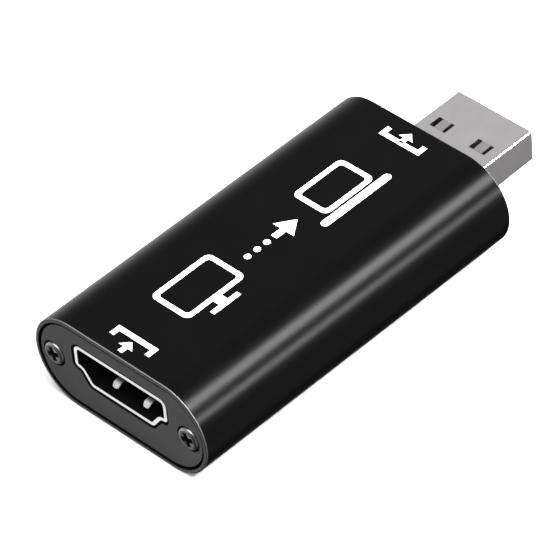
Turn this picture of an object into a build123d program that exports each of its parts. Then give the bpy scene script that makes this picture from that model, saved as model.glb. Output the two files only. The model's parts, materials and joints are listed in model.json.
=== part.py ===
from build123d import *

import math
import os

# A small video capture box: an oval aluminium tube with a screwed plate in each mouth, a wide video
# socket in the input end and a flat computer plug in the output end, on one circuit board.
# Millimetres. +X runs from the input end to the plug's tip, +Y to the left of that, +Z up.
# The origin is under the middle of the whole length, on the plane that the flat underside rests on.

# Tube
body_length = 51.0
body_width = 28.0
body_height = 12.8
flat_width = 15.4
wall = 1.2
rim_thickness = 0.5
edge_round = 0.15

# End plates, let into the mouths of the tube
plate_thickness = 1.5
plate_recess = 0.12
plate_gap = 0.2
plate_edge_bevel = 0.12
aperture_gap = 0.3

# End screws and the channels of the tube that they bite into
screw_side_inset = 3.05
screw_head_diameter = 3.1
screw_head_height = 0.8
screw_head_round = 0.3
screw_shank_diameter = 1.9
screw_shank_length = 6.0
screw_tip_bevel = 0.4
screw_recess_length = 1.9
screw_recess_width = 0.5
screw_recess_depth = 0.5
screw_turn_degrees = 18.0
head_pocket_depth = 0.55
head_pocket_gap = 0.2
screw_hole_gap = 0.25
channel_gap = 0.05
channel_radius = 1.9
channel_slot = 0.8
channel_web = 2.2

# Circuit board and the grooves that hold it. Its sides end a little inside the screws' axes.
board_screw_inset = 1.0
board_thickness = 1.0
board_drop = 1.8
board_end_gap = 0.3
board_corner = 0.8
groove_depth = 0.75
groove_gap = 0.05
groove_side_gap = 0.1
rail_thickness = 0.65
lip_thickness = 0.9

# Video socket, as wide as the room that it leaves to each side of the tube for a screw
socket_side_room = 6.5
socket_height = 5.3
socket_side_height = 3.25
socket_bottom_inset = 2.45
socket_shoulder_run = 1.1
socket_shoulder_drop = 0.2
socket_top_round = 1.0
socket_side_round = 0.5
socket_shoulder_round = 0.8
socket_wall = 0.4
socket_length = 11.4
socket_setback = 0.13
socket_leg_width = 1.4
socket_leg_first = 3.0
socket_leg_second = 9.0
socket_leg_lap = 1.0

# Springs of the video socket, which press on a plug's metal
spring_width = 1.0
spring_thickness = 0.25
spring_gap = 0.25
spring_low_share = 0.495
spring_top_share = 0.4
spring_slot_start = 1.45
spring_slot_end = 7.0
spring_nose = 1.7
spring_crest = 2.6
spring_rise = 0.95
spring_root_lap = 0.4

# Insulator and contacts of the video socket
tongue_recess = 2.2
tongue_side_room = 2.05
tongue_thickness = 1.4
tongue_drop = 0.05
socket_block_length = 2.8
insulator_gap = 0.05
socket_contact_pitch = 1.0
socket_contact_width = 0.3
socket_contact_thickness = 0.2
socket_upper_contact_start = 0.4
socket_lower_contact_start = 0.8
socket_tail_step = 0.35
socket_tail_foot = 1.1
contact_gap = 0.03

# Computer plug, as wide as the room that it leaves to each side of the tube
plug_reach = 12.8
plug_side_room = 8.0
plug_height = 4.5
plug_drop = 1.72
plug_round = 0.45
plug_wall = 0.3
plug_inner_length = 5.2
plug_edge_round = 0.1
plug_window_place_share = 0.5333
plug_window_width_share = 0.2083
plug_window_length = 1.85
plug_window_setback = 5.0
plug_tab_side_gap = 0.6
plug_tab_slot = 0.18
plug_leg_width = 1.8
plug_leg_setback = 1.5
plug_leg_reach = 1.2
plug_leg_lift = 0.45
plug_notch_gap = 0.15

# Insulator and contacts of the plug
plug_cavity_depth = 11.9
plug_shelf_height = 1.85
plug_shelf_recess = 0.4
plug_block_setback = 0.3
plug_contact_width = 1.0
plug_contact_thickness = 0.25
plug_contact_inner_share = 0.1667
plug_contact_outer_share = 0.5833
plug_outer_contact_start = 1.3
plug_inner_contact_start = 2.0
plug_contact_step_far = 2.0
plug_contact_step_near = 1.4
plug_contact_foot = 1.6

# Legs through the board and their solder
leg_slot_gap = 0.15
leg_stand_out = 0.6
solder_height = 0.45
solder_foot_margin = 0.4
solder_tip_margin = 0.12

# Capture chip
capture_chip_size = 7.0
capture_chip_height = 1.4
capture_chip_standoff = 0.1
capture_chip_place_shares = (0.39, 0.0)
capture_lead_pitch = 0.5
capture_leads_per_side = 12
capture_lead_width = 0.22
capture_lead_thickness = 0.15
capture_lead_shoulder = 0.35
capture_lead_slope = 0.15
capture_lead_foot = 0.5
chip_bevel = 0.15
chip_dot_diameter = 0.8
chip_dot_depth = 0.08
chip_dot_inset_share = 0.2
chip_lead_height_share = 0.5

# Memory chip
memory_chip_length = 4.9
memory_chip_width = 3.9
memory_chip_height = 1.5
memory_chip_place_shares = (0.751, -0.245)
memory_lead_pitch = 1.27
memory_leads_per_side = 4
memory_lead_width = 0.42
memory_lead_thickness = 0.2
memory_lead_shoulder = 0.35
memory_lead_slope = 0.15
memory_lead_foot = 0.6

# Voltage regulator
regulator_length = 6.5
regulator_width = 3.5
regulator_height = 1.6
regulator_place_shares = (0.731, 0.211)
regulator_lead_pitch = 2.3
regulator_lead_count = 3
regulator_lead_width = 0.7
regulator_tab_width = 3.0
regulator_lead_thickness = 0.26
regulator_lead_shoulder = 0.5
regulator_lead_slope = 0.2
regulator_lead_foot = 0.8

# Crystal
crystal_length = 5.0
crystal_width = 3.2
crystal_base_height = 0.8
crystal_lid_height = 0.35
crystal_lid_inset = 0.25
crystal_corner = 0.4
crystal_place_shares = (0.2, 0.34)

# Surge protection arrays, beside the video socket
array_length = 2.5
array_width = 1.0
array_height = 0.55
array_pad_pitch = 0.5
array_pads_per_side = 5
array_pad_width = 0.25
array_pad_reach = 0.3
array_pad_height = 0.2
array_x_share = 0.065
array_y_shares = (-0.226, 0.0, 0.226)

# Chip resistors, between the arrays and the capture chip
resistor_length = 1.0
resistor_width = 0.5
resistor_height = 0.35
resistor_x_share = 0.162
resistor_y_shares = (-0.175, -0.125, -0.075, -0.025, 0.025, 0.075, 0.125, 0.175)

# Chip capacitors
capacitor_length = 1.6
capacitor_width = 0.8
capacitor_height = 0.8
capacitor_place_shares = (
    (0.39, 0.33),
    (0.215, -0.33),
    (0.30, -0.33),
    (0.39, -0.33),
    (0.48, -0.33),
    (0.585, -0.17),
    (0.585, 0.0),
    (0.585, 0.17),
    (0.56, 0.38),
    (0.09, 0.38),
    (0.09, -0.38),
)

# Ferrite beads in the plug's supply line
bead_length = 1.6
bead_width = 0.9
bead_height = 0.9
bead_place_shares = ((0.9, 0.055), (0.9, -0.055))
end_cap_share = 0.2

# Supply capacitors
supply_length = 3.5
supply_width = 2.8
supply_height = 1.9
supply_bevel = 0.2
supply_terminal_width = 2.2
supply_terminal_height = 1.0
supply_terminal_thickness = 0.15
supply_place_shares = ((0.932, 0.317), (0.932, -0.317))

# White picture marks printed on the flat top
mark_thickness = 0.03
mark_stroke = 0.7
port_mark_width = 6.4
port_mark_length = 2.6
port_mark_setback = 2.6
port_arrow_length = 2.0
port_arrow_width = 2.2
port_arrow_head = 1.1
port_arrow_dip_share = 0.35
port_tray_share = 0.62
screen_mark_width = 9.6
screen_mark_height = 6.2
screen_mark_round = 0.9
screen_foot_width = 4.4
screen_neck_height = 1.0
laptop_mark_width = 8.4
laptop_mark_height = 5.6
laptop_base_width = 11.6
laptop_base_height = 1.1
flow_dot = 0.9
flow_dot_count = 3
flow_dot_pitch = 1.6
flow_head_length = 2.4
flow_head_width = 3.4
flow_shaft_length = 1.6
flow_shaft_width = 0.9
screen_mark_place_share = 0.28
flow_mark_place_share = 0.5
laptop_mark_place_share = 0.72

# One overrun serves every cut
overrun = 1.0

# Places along the whole length
total_length = body_length + plug_reach
input_face = -total_length / 2
output_face = input_face + body_length
plug_tip = output_face + plug_reach
mid_height = body_height / 2
pocket_depth = plate_recess + plate_thickness

# Widths and places across the tube
screw_y = body_width / 2 - screw_side_inset
board_width = 2 * (screw_y - board_screw_inset)
socket_width = body_width - 2 * socket_side_room
socket_bottom_width = socket_width - 2 * socket_bottom_inset
spring_pitch_low = spring_low_share * socket_bottom_width
spring_pitch_top = spring_top_share * socket_width
tongue_width = socket_width - 2 * tongue_side_room
socket_upper_contact_count = int(tongue_width / socket_contact_pitch)
socket_lower_contact_count = socket_upper_contact_count - 1
plug_width = body_width - 2 * plug_side_room
plug_window_pitch = plug_window_place_share * plug_width
plug_window_width = plug_window_width_share * plug_width
plug_tab_width = plug_window_width - 2 * plug_tab_side_gap
plug_contact_inner_pitch = plug_contact_inner_share * plug_width
plug_contact_outer_pitch = plug_contact_outer_share * plug_width

# Places of the board, the socket and the plug along and up
board_top = mid_height - board_drop
board_start = input_face + pocket_depth + board_end_gap
board_end = output_face - pocket_depth - board_end_gap
board_bottom = board_top - board_thickness
groove_inner = board_width / 2 - groove_depth
socket_front = input_face + plate_recess + socket_setback
socket_back = socket_front + socket_length
socket_middle = board_top + socket_height / 2
tongue_middle = socket_middle - tongue_drop
socket_tail = socket_back + socket_tail_step
plug_middle = mid_height - plug_drop
plug_back = output_face - plug_inner_length
plug_floor = plug_middle - plug_height / 2 + plug_wall
plug_shelf_top = plug_floor + insulator_gap + plug_shelf_height
leg_bottom = board_bottom - leg_stand_out
bay_start = socket_tail + socket_tail_foot
bay_end = plug_back - plug_contact_foot
bay_length = bay_end - bay_start


def along(section, start, end):
    """A solid with a section drawn in Y and Z, from X start to X end."""
    return extrude(Plane.YZ.offset(start) * section, amount=end - start)


def sideways(profile, width):
    """A solid with a profile drawn in X and Z, half its width to each side of Y zero."""
    return extrude(Plane.XZ * profile, amount=width / 2, both=True)


def block(x_from, x_to, y_from, y_to, z_from, z_to):
    """A box between two corners."""
    size = Box(x_to - x_from, y_to - y_from, z_to - z_from)
    return Pos((x_from + x_to) / 2, (y_from + y_to) / 2, (z_from + z_to) / 2) * size


def ribbon(points, thickness):
    """The side view of a bent strip: its middle line goes through the points, with round bends."""
    face = None
    for start, end in zip(points, points[1:]):
        run = math.dist(start, end)
        turn = math.degrees(math.atan2(end[1] - start[1], end[0] - start[0]))
        centre = Pos((start[0] + end[0]) / 2, (start[1] + end[1]) / 2)
        length = centre * Rot(Z=turn) * Rectangle(run, thickness)
        face = length if face is None else face + length
    for bend in points[1:-1]:
        face += Pos(*bend) * Circle(thickness / 2)
    return face


def both_sides(shape):
    """A shape and its mirror image across the XZ plane, as one list."""
    return [shape, mirror(shape, about=Plane.XZ)]


def on_board(shares, lift):
    """The place on the board that two shares name: of the bay's length and of the board's width."""
    return Pos(bay_start + shares[0] * bay_length, shares[1] * board_width, board_top + lift)


def oval(inset):
    """The outline of the tube, drawn in all round: flat above and below, half ellipses at the sides."""
    middle = Rectangle(flat_width, body_height - 2 * inset)
    side = Ellipse((body_width - flat_width) / 2 - inset, body_height / 2 - inset)
    whole = middle + Pos(-flat_width / 2) * side + Pos(flat_width / 2) * side
    return Pos(0, mid_height) * whole


def tube_hollow():
    """The hollow inside the tube: the oval less its screw channels and board rails."""
    rib_outer = body_width / 2 - wall / 2
    rib_low = board_bottom - groove_gap - rail_thickness
    rib_high = board_top + groove_gap + lip_thickness
    rib_middle = (groove_inner + rib_outer) / 2
    rib_size = Rectangle(rib_outer - groove_inner, rib_high - rib_low)
    rib = Pos(rib_middle, (rib_low + rib_high) / 2) * rib_size
    web_length = rib_outer - screw_y
    web = Pos(rib_outer - web_length / 2, mid_height) * Rectangle(web_length, channel_web)
    channel = Pos(screw_y, mid_height) * Circle(channel_radius)
    solid_side = rib + web + channel
    bore = Pos(screw_y, mid_height) * Circle(screw_shank_diameter / 2 + channel_gap)
    slot_length = channel_radius + overrun
    slot = Pos(screw_y - slot_length / 2, mid_height) * Rectangle(slot_length, channel_slot)
    groove_outer = board_width / 2 + groove_side_gap
    groove_length = groove_outer - groove_inner + overrun
    groove_place = Pos(groove_outer - groove_length / 2, board_top - board_thickness / 2)
    groove = groove_place * Rectangle(groove_length, board_thickness + 2 * groove_gap)
    open_side = bore + slot + groove
    hollow = oval(wall) - solid_side - mirror(solid_side, about=Plane.YZ)
    return hollow + open_side + mirror(open_side, about=Plane.YZ)


def housing_shell():
    """The extruded tube, with a shallow pocket in each mouth for its end plate."""
    tube = along(oval(0), input_face, output_face)
    ends = tube.edges().group_by(Axis.X)
    tube = fillet(ends[0] + ends[-1], edge_round)
    tube -= along(tube_hollow(), input_face - overrun, output_face + overrun)
    tube -= along(oval(rim_thickness), input_face - overrun, input_face + pocket_depth)
    tube -= along(oval(rim_thickness), output_face - pocket_depth, output_face + overrun)
    return tube


def socket_outline(grow):
    """The outline of the video socket's metal shell in Y and Z, grown all round."""
    high = socket_middle + socket_height / 2
    half = socket_width / 2
    side_foot = high - socket_side_height
    low_half = socket_bottom_width / 2
    right = [
        (half, high),
        (half, side_foot),
        (half - socket_shoulder_run, side_foot - socket_shoulder_drop),
        (low_half, board_top),
    ]
    left = [(-y, z) for y, z in reversed(right)]
    rounds = [socket_top_round, socket_side_round, socket_shoulder_round, socket_shoulder_round]
    line = FilletPolyline(*right, *left, radius=rounds + rounds[::-1], close=True)
    face = make_face(line)
    if grow:
        face = offset(face, amount=grow)
    return face


def plug_outline(grow):
    """The outline of the plug's metal shell in Y and Z, grown all round."""
    rounded = RectangleRounded(plug_width + 2 * grow, plug_height + 2 * grow, plug_round + grow)
    return Pos(0, plug_middle) * rounded


def end_plate(outline, front, inward):
    """A plate for one mouth, with the outline of its opening, two screw holes and head pockets."""
    back = front + inward * plate_thickness
    plate = along(oval(rim_thickness + plate_gap), min(front, back), max(front, back))
    faces = plate.faces().sort_by(Axis.X)
    shown = faces[0] if inward > 0 else faces[-1]
    plate = chamfer(shown.edges(), plate_edge_bevel)
    cut_from = min(front, back) - overrun
    cut_to = max(front, back) + overrun
    plate -= along(outline, cut_from, cut_to)
    seat = front + inward * head_pocket_depth
    shown_side = front - inward * overrun
    for side in (-1, 1):
        place = Pos(side * screw_y, mid_height)
        hole = place * Circle(screw_shank_diameter / 2 + screw_hole_gap)
        pocket = place * Circle(screw_head_diameter / 2 + head_pocket_gap)
        plate -= along(hole, cut_from, cut_to)
        plate -= along(pocket, min(shown_side, seat), max(shown_side, seat))
    return plate


def end_screw():
    """One screw with its head's top at X zero and its tip towards +X."""
    head = along(Circle(screw_head_diameter / 2), 0, screw_head_height)
    head = fillet(head.edges().sort_by(Axis.X)[0], screw_head_round)
    tip = screw_head_height + screw_shank_length
    shank = along(Circle(screw_shank_diameter / 2), 0, tip)
    shank = chamfer(shank.edges().sort_by(Axis.X)[-1], screw_tip_bevel)
    arm = Rectangle(screw_recess_length, screw_recess_width)
    cross = arm + Rot(Z=90) * arm
    recess = along(Rot(Z=screw_turn_degrees) * cross, -overrun, screw_recess_depth)
    return head + shank - recess


def end_screws(plate_front, inward):
    """The two screws of one end plate."""
    head_top = plate_front + inward * (head_pocket_depth - screw_head_height)
    facing = Rot(Z=0 if inward > 0 else 180)
    screw = facing * end_screw()
    return [Pos(head_top, side * screw_y, mid_height) * screw for side in (-1, 1)]


def socket_leg_places():
    """The middle of each leg of the video socket along X."""
    return [socket_front + socket_leg_first, socket_front + socket_leg_second]


def socket_leg(x_middle, gap, top):
    """The left leg of the video socket at one place, grown by a gap, up to a height."""
    outer = socket_width / 2
    half = socket_leg_width / 2
    return block(
        x_middle - half - gap,
        x_middle + half + gap,
        outer - socket_wall - gap,
        outer + gap,
        leg_bottom - gap,
        top,
    )


def plug_leg(gap):
    """The left leg of the plug: out from its side, then down through the board, grown by a gap."""
    lift = board_top + plug_leg_lift
    knee = plug_width / 2 + plug_leg_reach
    line = [(plug_width / 2 - plug_wall / 2, lift), (knee, lift), (knee, leg_bottom - gap)]
    middle = plug_back + plug_leg_setback
    half = plug_leg_width / 2 + gap
    return along(ribbon(line, plug_wall + 2 * gap), middle - half, middle + half)


def circuit_board():
    """The board, with a notch for the plug and slots for the legs."""
    outline = RectangleRounded(board_end - board_start, board_width, board_corner)
    middle = (board_start + board_end) / 2
    board = extrude(Pos(middle, 0, board_bottom) * outline, amount=board_thickness)
    notch_half = plug_width / 2 + plug_notch_gap
    low = board_bottom - overrun
    high = board_top + overrun
    notch_start = plug_back - plug_notch_gap
    board -= block(notch_start, board_end + overrun, -notch_half, notch_half, low, high)
    for x_middle in socket_leg_places():
        for slot in both_sides(socket_leg(x_middle, leg_slot_gap, high)):
            board -= slot
    knee = plug_width / 2 + plug_leg_reach
    slot_half = plug_wall / 2 + leg_slot_gap
    leg_half = plug_leg_width / 2 + leg_slot_gap
    leg_x = plug_back + plug_leg_setback
    slot = block(leg_x - leg_half, leg_x + leg_half, knee - slot_half, knee + slot_half, low, high)
    for cut in both_sides(slot):
        board -= cut
    return board


def socket_spring(wall_face, inward):
    """The side view of one spring: rooted behind its slot, it rises to a crest near the mouth."""
    level = wall_face - inward * spring_thickness / 2
    crest = wall_face + inward * (spring_rise - spring_thickness / 2)
    root = socket_front + spring_slot_end
    line = [
        (root + spring_root_lap, level),
        (root - spring_root_lap, level),
        (socket_front + spring_crest, crest),
        (socket_front + spring_nose, level),
    ]
    return ribbon(line, spring_thickness)


def socket_shell():
    """The video socket's metal: a shaped tube with four legs and four springs."""
    shell = along(socket_outline(0) - socket_outline(-socket_wall), socket_front, socket_back)
    side_foot = board_top + socket_height - socket_side_height
    for x_middle in socket_leg_places():
        for leg in both_sides(socket_leg(x_middle, 0, side_foot + socket_leg_lap)):
            shell += leg
    floor_face = board_top + socket_wall
    roof_face = board_top + socket_height - socket_wall
    springs = ((floor_face, 1, spring_pitch_low), (roof_face, -1, spring_pitch_top))
    for face, inward, pitch in springs:
        outside = face - inward * socket_wall
        slot_half = spring_width / 2 + spring_gap
        slot = block(
            socket_front + spring_slot_start,
            socket_front + spring_slot_end,
            pitch / 2 - slot_half,
            pitch / 2 + slot_half,
            min(face, outside) - socket_wall / 2,
            max(face, outside) + socket_wall / 2,
        )
        spring = Pos(0, pitch / 2, 0) * sideways(socket_spring(face, inward), spring_width)
        for cut, strip in zip(both_sides(slot), both_sides(spring)):
            shell = shell - cut + strip
    return shell


def socket_contact(upper, gap):
    """One contact of the video socket on the middle line, from the tongue to its foot on the board."""
    side = 1 if upper else -1
    start = socket_upper_contact_start if upper else socket_lower_contact_start
    level = tongue_middle + side * tongue_thickness / 2
    foot = board_top + socket_contact_thickness / 2
    line = [
        (socket_front + tongue_recess + start, level),
        (socket_tail, level),
        (socket_tail, foot),
        (socket_tail + socket_tail_foot, foot),
    ]
    profile = ribbon(line, socket_contact_thickness + 2 * gap)
    return sideways(profile, socket_contact_width + 2 * gap)


def socket_contacts(upper, gap):
    """One row of the video socket's contacts."""
    count = socket_upper_contact_count if upper else socket_lower_contact_count
    first = -(count - 1) / 2 * socket_contact_pitch
    contact = socket_contact(upper, gap)
    return [Pos(0, first + step * socket_contact_pitch, 0) * contact for step in range(count)]


def socket_insulator():
    """The socket's moulded block and tongue, with a channel for every contact."""
    inner = socket_outline(-socket_wall - insulator_gap)
    moulding = along(inner, socket_back - socket_block_length, socket_back)
    tongue = Pos(0, tongue_middle) * Rectangle(tongue_width, tongue_thickness)
    moulding += along(tongue, socket_front + tongue_recess, socket_back - socket_block_length)
    for contact in socket_contacts(True, contact_gap) + socket_contacts(False, contact_gap):
        moulding -= contact
    return moulding


def plug_windows():
    """What is cut from the plug's top and underside: slots round a tab on each spring window."""
    far = plug_tip - plug_window_setback
    near = far - plug_window_length
    tab_near = near + plug_tab_slot
    low = plug_middle - plug_height / 2 - overrun
    high = plug_middle + plug_height / 2 + overrun
    middle = plug_window_pitch / 2
    half = plug_window_width / 2
    window = block(near, far, middle - half, middle + half, low, high)
    tab_half = plug_tab_width / 2
    tab = block(tab_near, far, middle - tab_half, middle + tab_half, low, high)
    return both_sides(window - tab)


def plug_shell():
    """The plug's metal: a flat tube with windows for the mating springs and two legs."""
    outer = along(plug_outline(0), plug_back, plug_tip)
    tip_edges = outer.edges().group_by(Axis.X)[-1]
    outer = fillet(tip_edges, plug_edge_round)
    shell = outer - along(plug_outline(-plug_wall), plug_back - overrun, plug_tip + overrun)
    for window in plug_windows():
        shell -= window
    for leg in both_sides(plug_leg(0)):
        shell += leg
    return shell


def plug_contact(start, gap):
    """One contact of the plug on the middle line, from the shelf to its foot on the board."""
    foot = board_top + plug_contact_thickness / 2
    line = [
        (plug_tip - plug_shelf_recess - start, plug_shelf_top),
        (plug_back + plug_contact_step_far, plug_shelf_top),
        (plug_back + plug_contact_step_near, foot),
        (bay_end, foot),
    ]
    profile = ribbon(line, plug_contact_thickness + 2 * gap)
    return sideways(profile, plug_contact_width + 2 * gap)


def plug_contacts(gap):
    """The four contacts of the plug: the outer two reach further out."""
    inner = Pos(0, plug_contact_inner_pitch / 2, 0) * plug_contact(plug_inner_contact_start, gap)
    outer = Pos(0, plug_contact_outer_pitch / 2, 0) * plug_contact(plug_outer_contact_start, gap)
    return both_sides(inner) + both_sides(outer)


def plug_insulator():
    """The plug's moulded block and shelf, with a channel for every contact."""
    block_end = plug_tip - plug_cavity_depth
    inner = plug_outline(-plug_wall - insulator_gap)
    moulding = along(inner, plug_back + plug_block_setback, block_end)
    shelf_half = plug_width / 2 - plug_wall - insulator_gap
    shelf = block(
        block_end,
        plug_tip - plug_shelf_recess,
        -shelf_half,
        shelf_half,
        plug_floor + insulator_gap,
        plug_shelf_top,
    )
    clear = along(inner, block_end, plug_tip)
    moulding += shelf & clear
    for contact in plug_contacts(contact_gap):
        moulding -= contact
    return moulding


def leg_solder(x_middle, y_middle, leg_length, leg_width):
    """Solder round one leg under the board, tapering down the leg."""
    foot_length = leg_length + 2 * solder_foot_margin
    foot_width = leg_width + 2 * solder_foot_margin
    tip_length = leg_length + 2 * solder_tip_margin
    tip_width = leg_width + 2 * solder_tip_margin
    foot = Pos(x_middle, y_middle, board_bottom) * Rectangle(foot_length, foot_width)
    tip = Pos(x_middle, y_middle, board_bottom - solder_height) * Rectangle(tip_length, tip_width)
    leg = block(
        x_middle - leg_length / 2,
        x_middle + leg_length / 2,
        y_middle - leg_width / 2,
        y_middle + leg_width / 2,
        leg_bottom,
        board_top,
    )
    return loft([tip, foot]) - leg


def leg_solder_joints():
    """The solder of all six legs."""
    socket_y = socket_width / 2 - socket_wall / 2
    joints = []
    for x_middle in socket_leg_places():
        joints += both_sides(leg_solder(x_middle, socket_y, socket_leg_width, socket_wall))
    plug_y = plug_width / 2 + plug_leg_reach
    plug_x = plug_back + plug_leg_setback
    joints += both_sides(leg_solder(plug_x, plug_y, plug_leg_width, plug_wall))
    return joints


def chip_body(length, width, height, standoff):
    """A moulded chip body that stands over Z zero, bevelled above, with a dot at one corner."""
    body = Pos(0, 0, standoff + height / 2) * Box(length, width, height)
    body = chamfer(body.faces().sort_by(Axis.Z)[-1].edges(), chip_bevel)
    inset = chip_dot_inset_share * min(length, width)
    top = standoff + height
    dot = extrude(
        Pos(inset - length / 2, inset - width / 2, top - chip_dot_depth) * Circle(chip_dot_diameter / 2),
        amount=chip_dot_depth + overrun,
    )
    return body - dot


def gull_lead(level, shoulder, slope, foot, thickness, width):
    """One bent lead from X zero, at a level on the chip's side, down to a foot on Z zero."""
    line = [
        (0, level),
        (shoulder, level),
        (shoulder + slope, thickness / 2),
        (shoulder + slope + foot, thickness / 2),
    ]
    return sideways(ribbon(line, thickness), width)


def lead_row(lead, edge, count, pitch):
    """A row of leads along the side of a chip that faces +X, at a distance from its middle."""
    first = -(count - 1) / 2 * pitch
    return [Pos(edge, first + step * pitch, 0) * lead for step in range(count)]


def capture_chip():
    """The capture chip's body and its leads on four sides."""
    place = on_board(capture_chip_place_shares, 0)
    body = chip_body(
        capture_chip_size, capture_chip_size, capture_chip_height, capture_chip_standoff
    )
    level = capture_chip_standoff + chip_lead_height_share * capture_chip_height
    lead = gull_lead(
        level,
        capture_lead_shoulder,
        capture_lead_slope,
        capture_lead_foot,
        capture_lead_thickness,
        capture_lead_width,
    )
    row = lead_row(lead, capture_chip_size / 2, capture_leads_per_side, capture_lead_pitch)
    leads = []
    for quarter in range(4):
        leads += [place * Rot(Z=90 * quarter) * one for one in row]
    return place * body, leads


def memory_chip():
    """The memory chip's body and its leads on two sides."""
    place = on_board(memory_chip_place_shares, 0)
    body = chip_body(
        memory_chip_length, memory_chip_width, memory_chip_height, capture_chip_standoff
    )
    level = capture_chip_standoff + chip_lead_height_share * memory_chip_height
    lead = gull_lead(
        level,
        memory_lead_shoulder,
        memory_lead_slope,
        memory_lead_foot,
        memory_lead_thickness,
        memory_lead_width,
    )
    row = lead_row(lead, memory_chip_width / 2, memory_leads_per_side, memory_lead_pitch)
    leads = [place * Rot(Z=turn) * one for turn in (90, -90) for one in row]
    return place * body, leads


def voltage_regulator():
    """The regulator's body, three leads on one side and a wide tab on the other."""
    place = on_board(regulator_place_shares, 0)
    body = chip_body(regulator_length, regulator_width, regulator_height, capture_chip_standoff)
    level = capture_chip_standoff + chip_lead_height_share * regulator_height
    shape = (
        level,
        regulator_lead_shoulder,
        regulator_lead_slope,
        regulator_lead_foot,
        regulator_lead_thickness,
    )
    lead = gull_lead(*shape, regulator_lead_width)
    tab = gull_lead(*shape, regulator_tab_width)
    row = lead_row(lead, regulator_width / 2, regulator_lead_count, regulator_lead_pitch)
    metal = [place * Rot(Z=-90) * one for one in row]
    metal.append(place * Rot(Z=90) * Pos(regulator_width / 2, 0, 0) * tab)
    return place * body, metal


def crystal():
    """The crystal's ceramic base and the metal lid on it."""
    base = extrude(
        on_board(crystal_place_shares, 0)
        * RectangleRounded(crystal_length, crystal_width, crystal_corner),
        amount=crystal_base_height,
    )
    lid_length = crystal_length - 2 * crystal_lid_inset
    lid_width = crystal_width - 2 * crystal_lid_inset
    lid = extrude(
        on_board(crystal_place_shares, crystal_base_height)
        * RectangleRounded(lid_length, lid_width, crystal_corner),
        amount=crystal_lid_height,
    )
    return base, lid


def protection_arrays():
    """The surge protection arrays' bodies and their solder pads."""
    bodies = []
    pads = []
    body = Pos(0, 0, array_height / 2) * Box(array_width, array_length, array_height)
    pad = Pos(array_pad_reach / 2, 0, array_pad_height / 2) * Box(
        array_pad_reach, array_pad_width, array_pad_height
    )
    row = lead_row(pad, array_width / 2, array_pads_per_side, array_pad_pitch)
    for share in array_y_shares:
        place = on_board((array_x_share, share), 0)
        bodies.append(place * body)
        pads += [place * Rot(Z=turn) * one for turn in (0, 180) for one in row]
    return bodies, pads


def end_capped(places, length, width, height):
    """Small two-ended parts, each a body between two metal end caps."""
    cap_length = end_cap_share * length
    core_length = length - 2 * cap_length
    core = Pos(0, 0, height / 2) * Box(core_length, width, height)
    cap = Box(cap_length, width, height)
    cap_middle = (core_length + cap_length) / 2
    cores = []
    caps = []
    for shares in places:
        place = on_board(shares, 0)
        cores.append(place * core)
        for side in (-1, 1):
            caps.append(place * Pos(side * cap_middle, 0, height / 2) * cap)
    return cores, caps


def supply_capacitors():
    """The supply capacitors' moulded bodies and their end terminals."""
    bodies = []
    terminals = []
    body = Pos(0, 0, supply_height / 2) * Box(supply_width, supply_length, supply_height)
    body = chamfer(body.faces().sort_by(Axis.Z)[-1].edges(), supply_bevel)
    terminal = Box(supply_terminal_width, supply_terminal_thickness, supply_terminal_height)
    terminal_y = (supply_length + supply_terminal_thickness) / 2
    for shares in supply_place_shares:
        place = on_board(shares, 0)
        bodies.append(place * body)
        for side in (-1, 1):
            terminals.append(place * Pos(0, side * terminal_y, supply_terminal_height / 2) * terminal)
    return bodies, terminals


def arrow(tail, shaft_width, head_length, head_width, length):
    """A flat arrow along +X from a tail."""
    neck = length - head_length
    shaft = Pos(tail + neck / 2, 0) * Rectangle(neck, shaft_width)
    tip = tail + length
    corner = tail + neck
    head = Polygon((corner, -head_width / 2), (tip, 0), (corner, head_width / 2), align=None)
    return shaft + head


def port_mark(leaving):
    """An arrow that enters a tray, or leaves it: the mark of an input or of an output."""
    floor_side = -1 if leaving else 1
    edge = floor_side * port_mark_length / 2
    floor = Pos(edge - floor_side * mark_stroke / 2, 0) * Rectangle(mark_stroke, port_mark_width)
    arm_length = port_tray_share * port_mark_length
    arm_x = edge - floor_side * arm_length / 2
    arm_y = (port_mark_width - mark_stroke) / 2
    tray = floor
    for side in (-1, 1):
        tray += Pos(arm_x, side * arm_y) * Rectangle(arm_length, mark_stroke)
    dip = port_arrow_dip_share * port_mark_length
    tail = -dip if leaving else dip - port_arrow_length - mark_stroke
    pointer = arrow(tail, mark_stroke, port_arrow_head, port_arrow_width, port_arrow_length)
    return tray, pointer


def frame_mark(width, height, corner):
    """A round-cornered outline, one stroke wide, that stands on Y zero."""
    ring = RectangleRounded(width, height, corner)
    hole = RectangleRounded(width - 2 * mark_stroke, height - 2 * mark_stroke, corner - mark_stroke / 2)
    return Pos(0, height / 2) * (ring - hole)


def screen_mark():
    """A monitor on its foot, round its own middle."""
    neck = Pos(0, -screen_neck_height / 2) * Rectangle(2 * mark_stroke, screen_neck_height)
    foot = Pos(0, -screen_neck_height - mark_stroke / 2) * Rectangle(screen_foot_width, mark_stroke)
    picture = frame_mark(screen_mark_width, screen_mark_height, screen_mark_round) + neck + foot
    return Pos(0, (screen_neck_height + mark_stroke - screen_mark_height) / 2) * picture


def laptop_mark():
    """A laptop seen from the front, round its own middle: the lid's frame and the base below it."""
    base = SlotOverall(laptop_base_width, laptop_base_height)
    base = Pos(0, -laptop_base_height / 2 - mark_stroke / 2) * base
    lid = frame_mark(laptop_mark_width, laptop_mark_height, screen_mark_round)
    shift = Pos(0, (laptop_base_height + mark_stroke / 2 - laptop_mark_height) / 2)
    return [shift * lid, shift * base]


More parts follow.
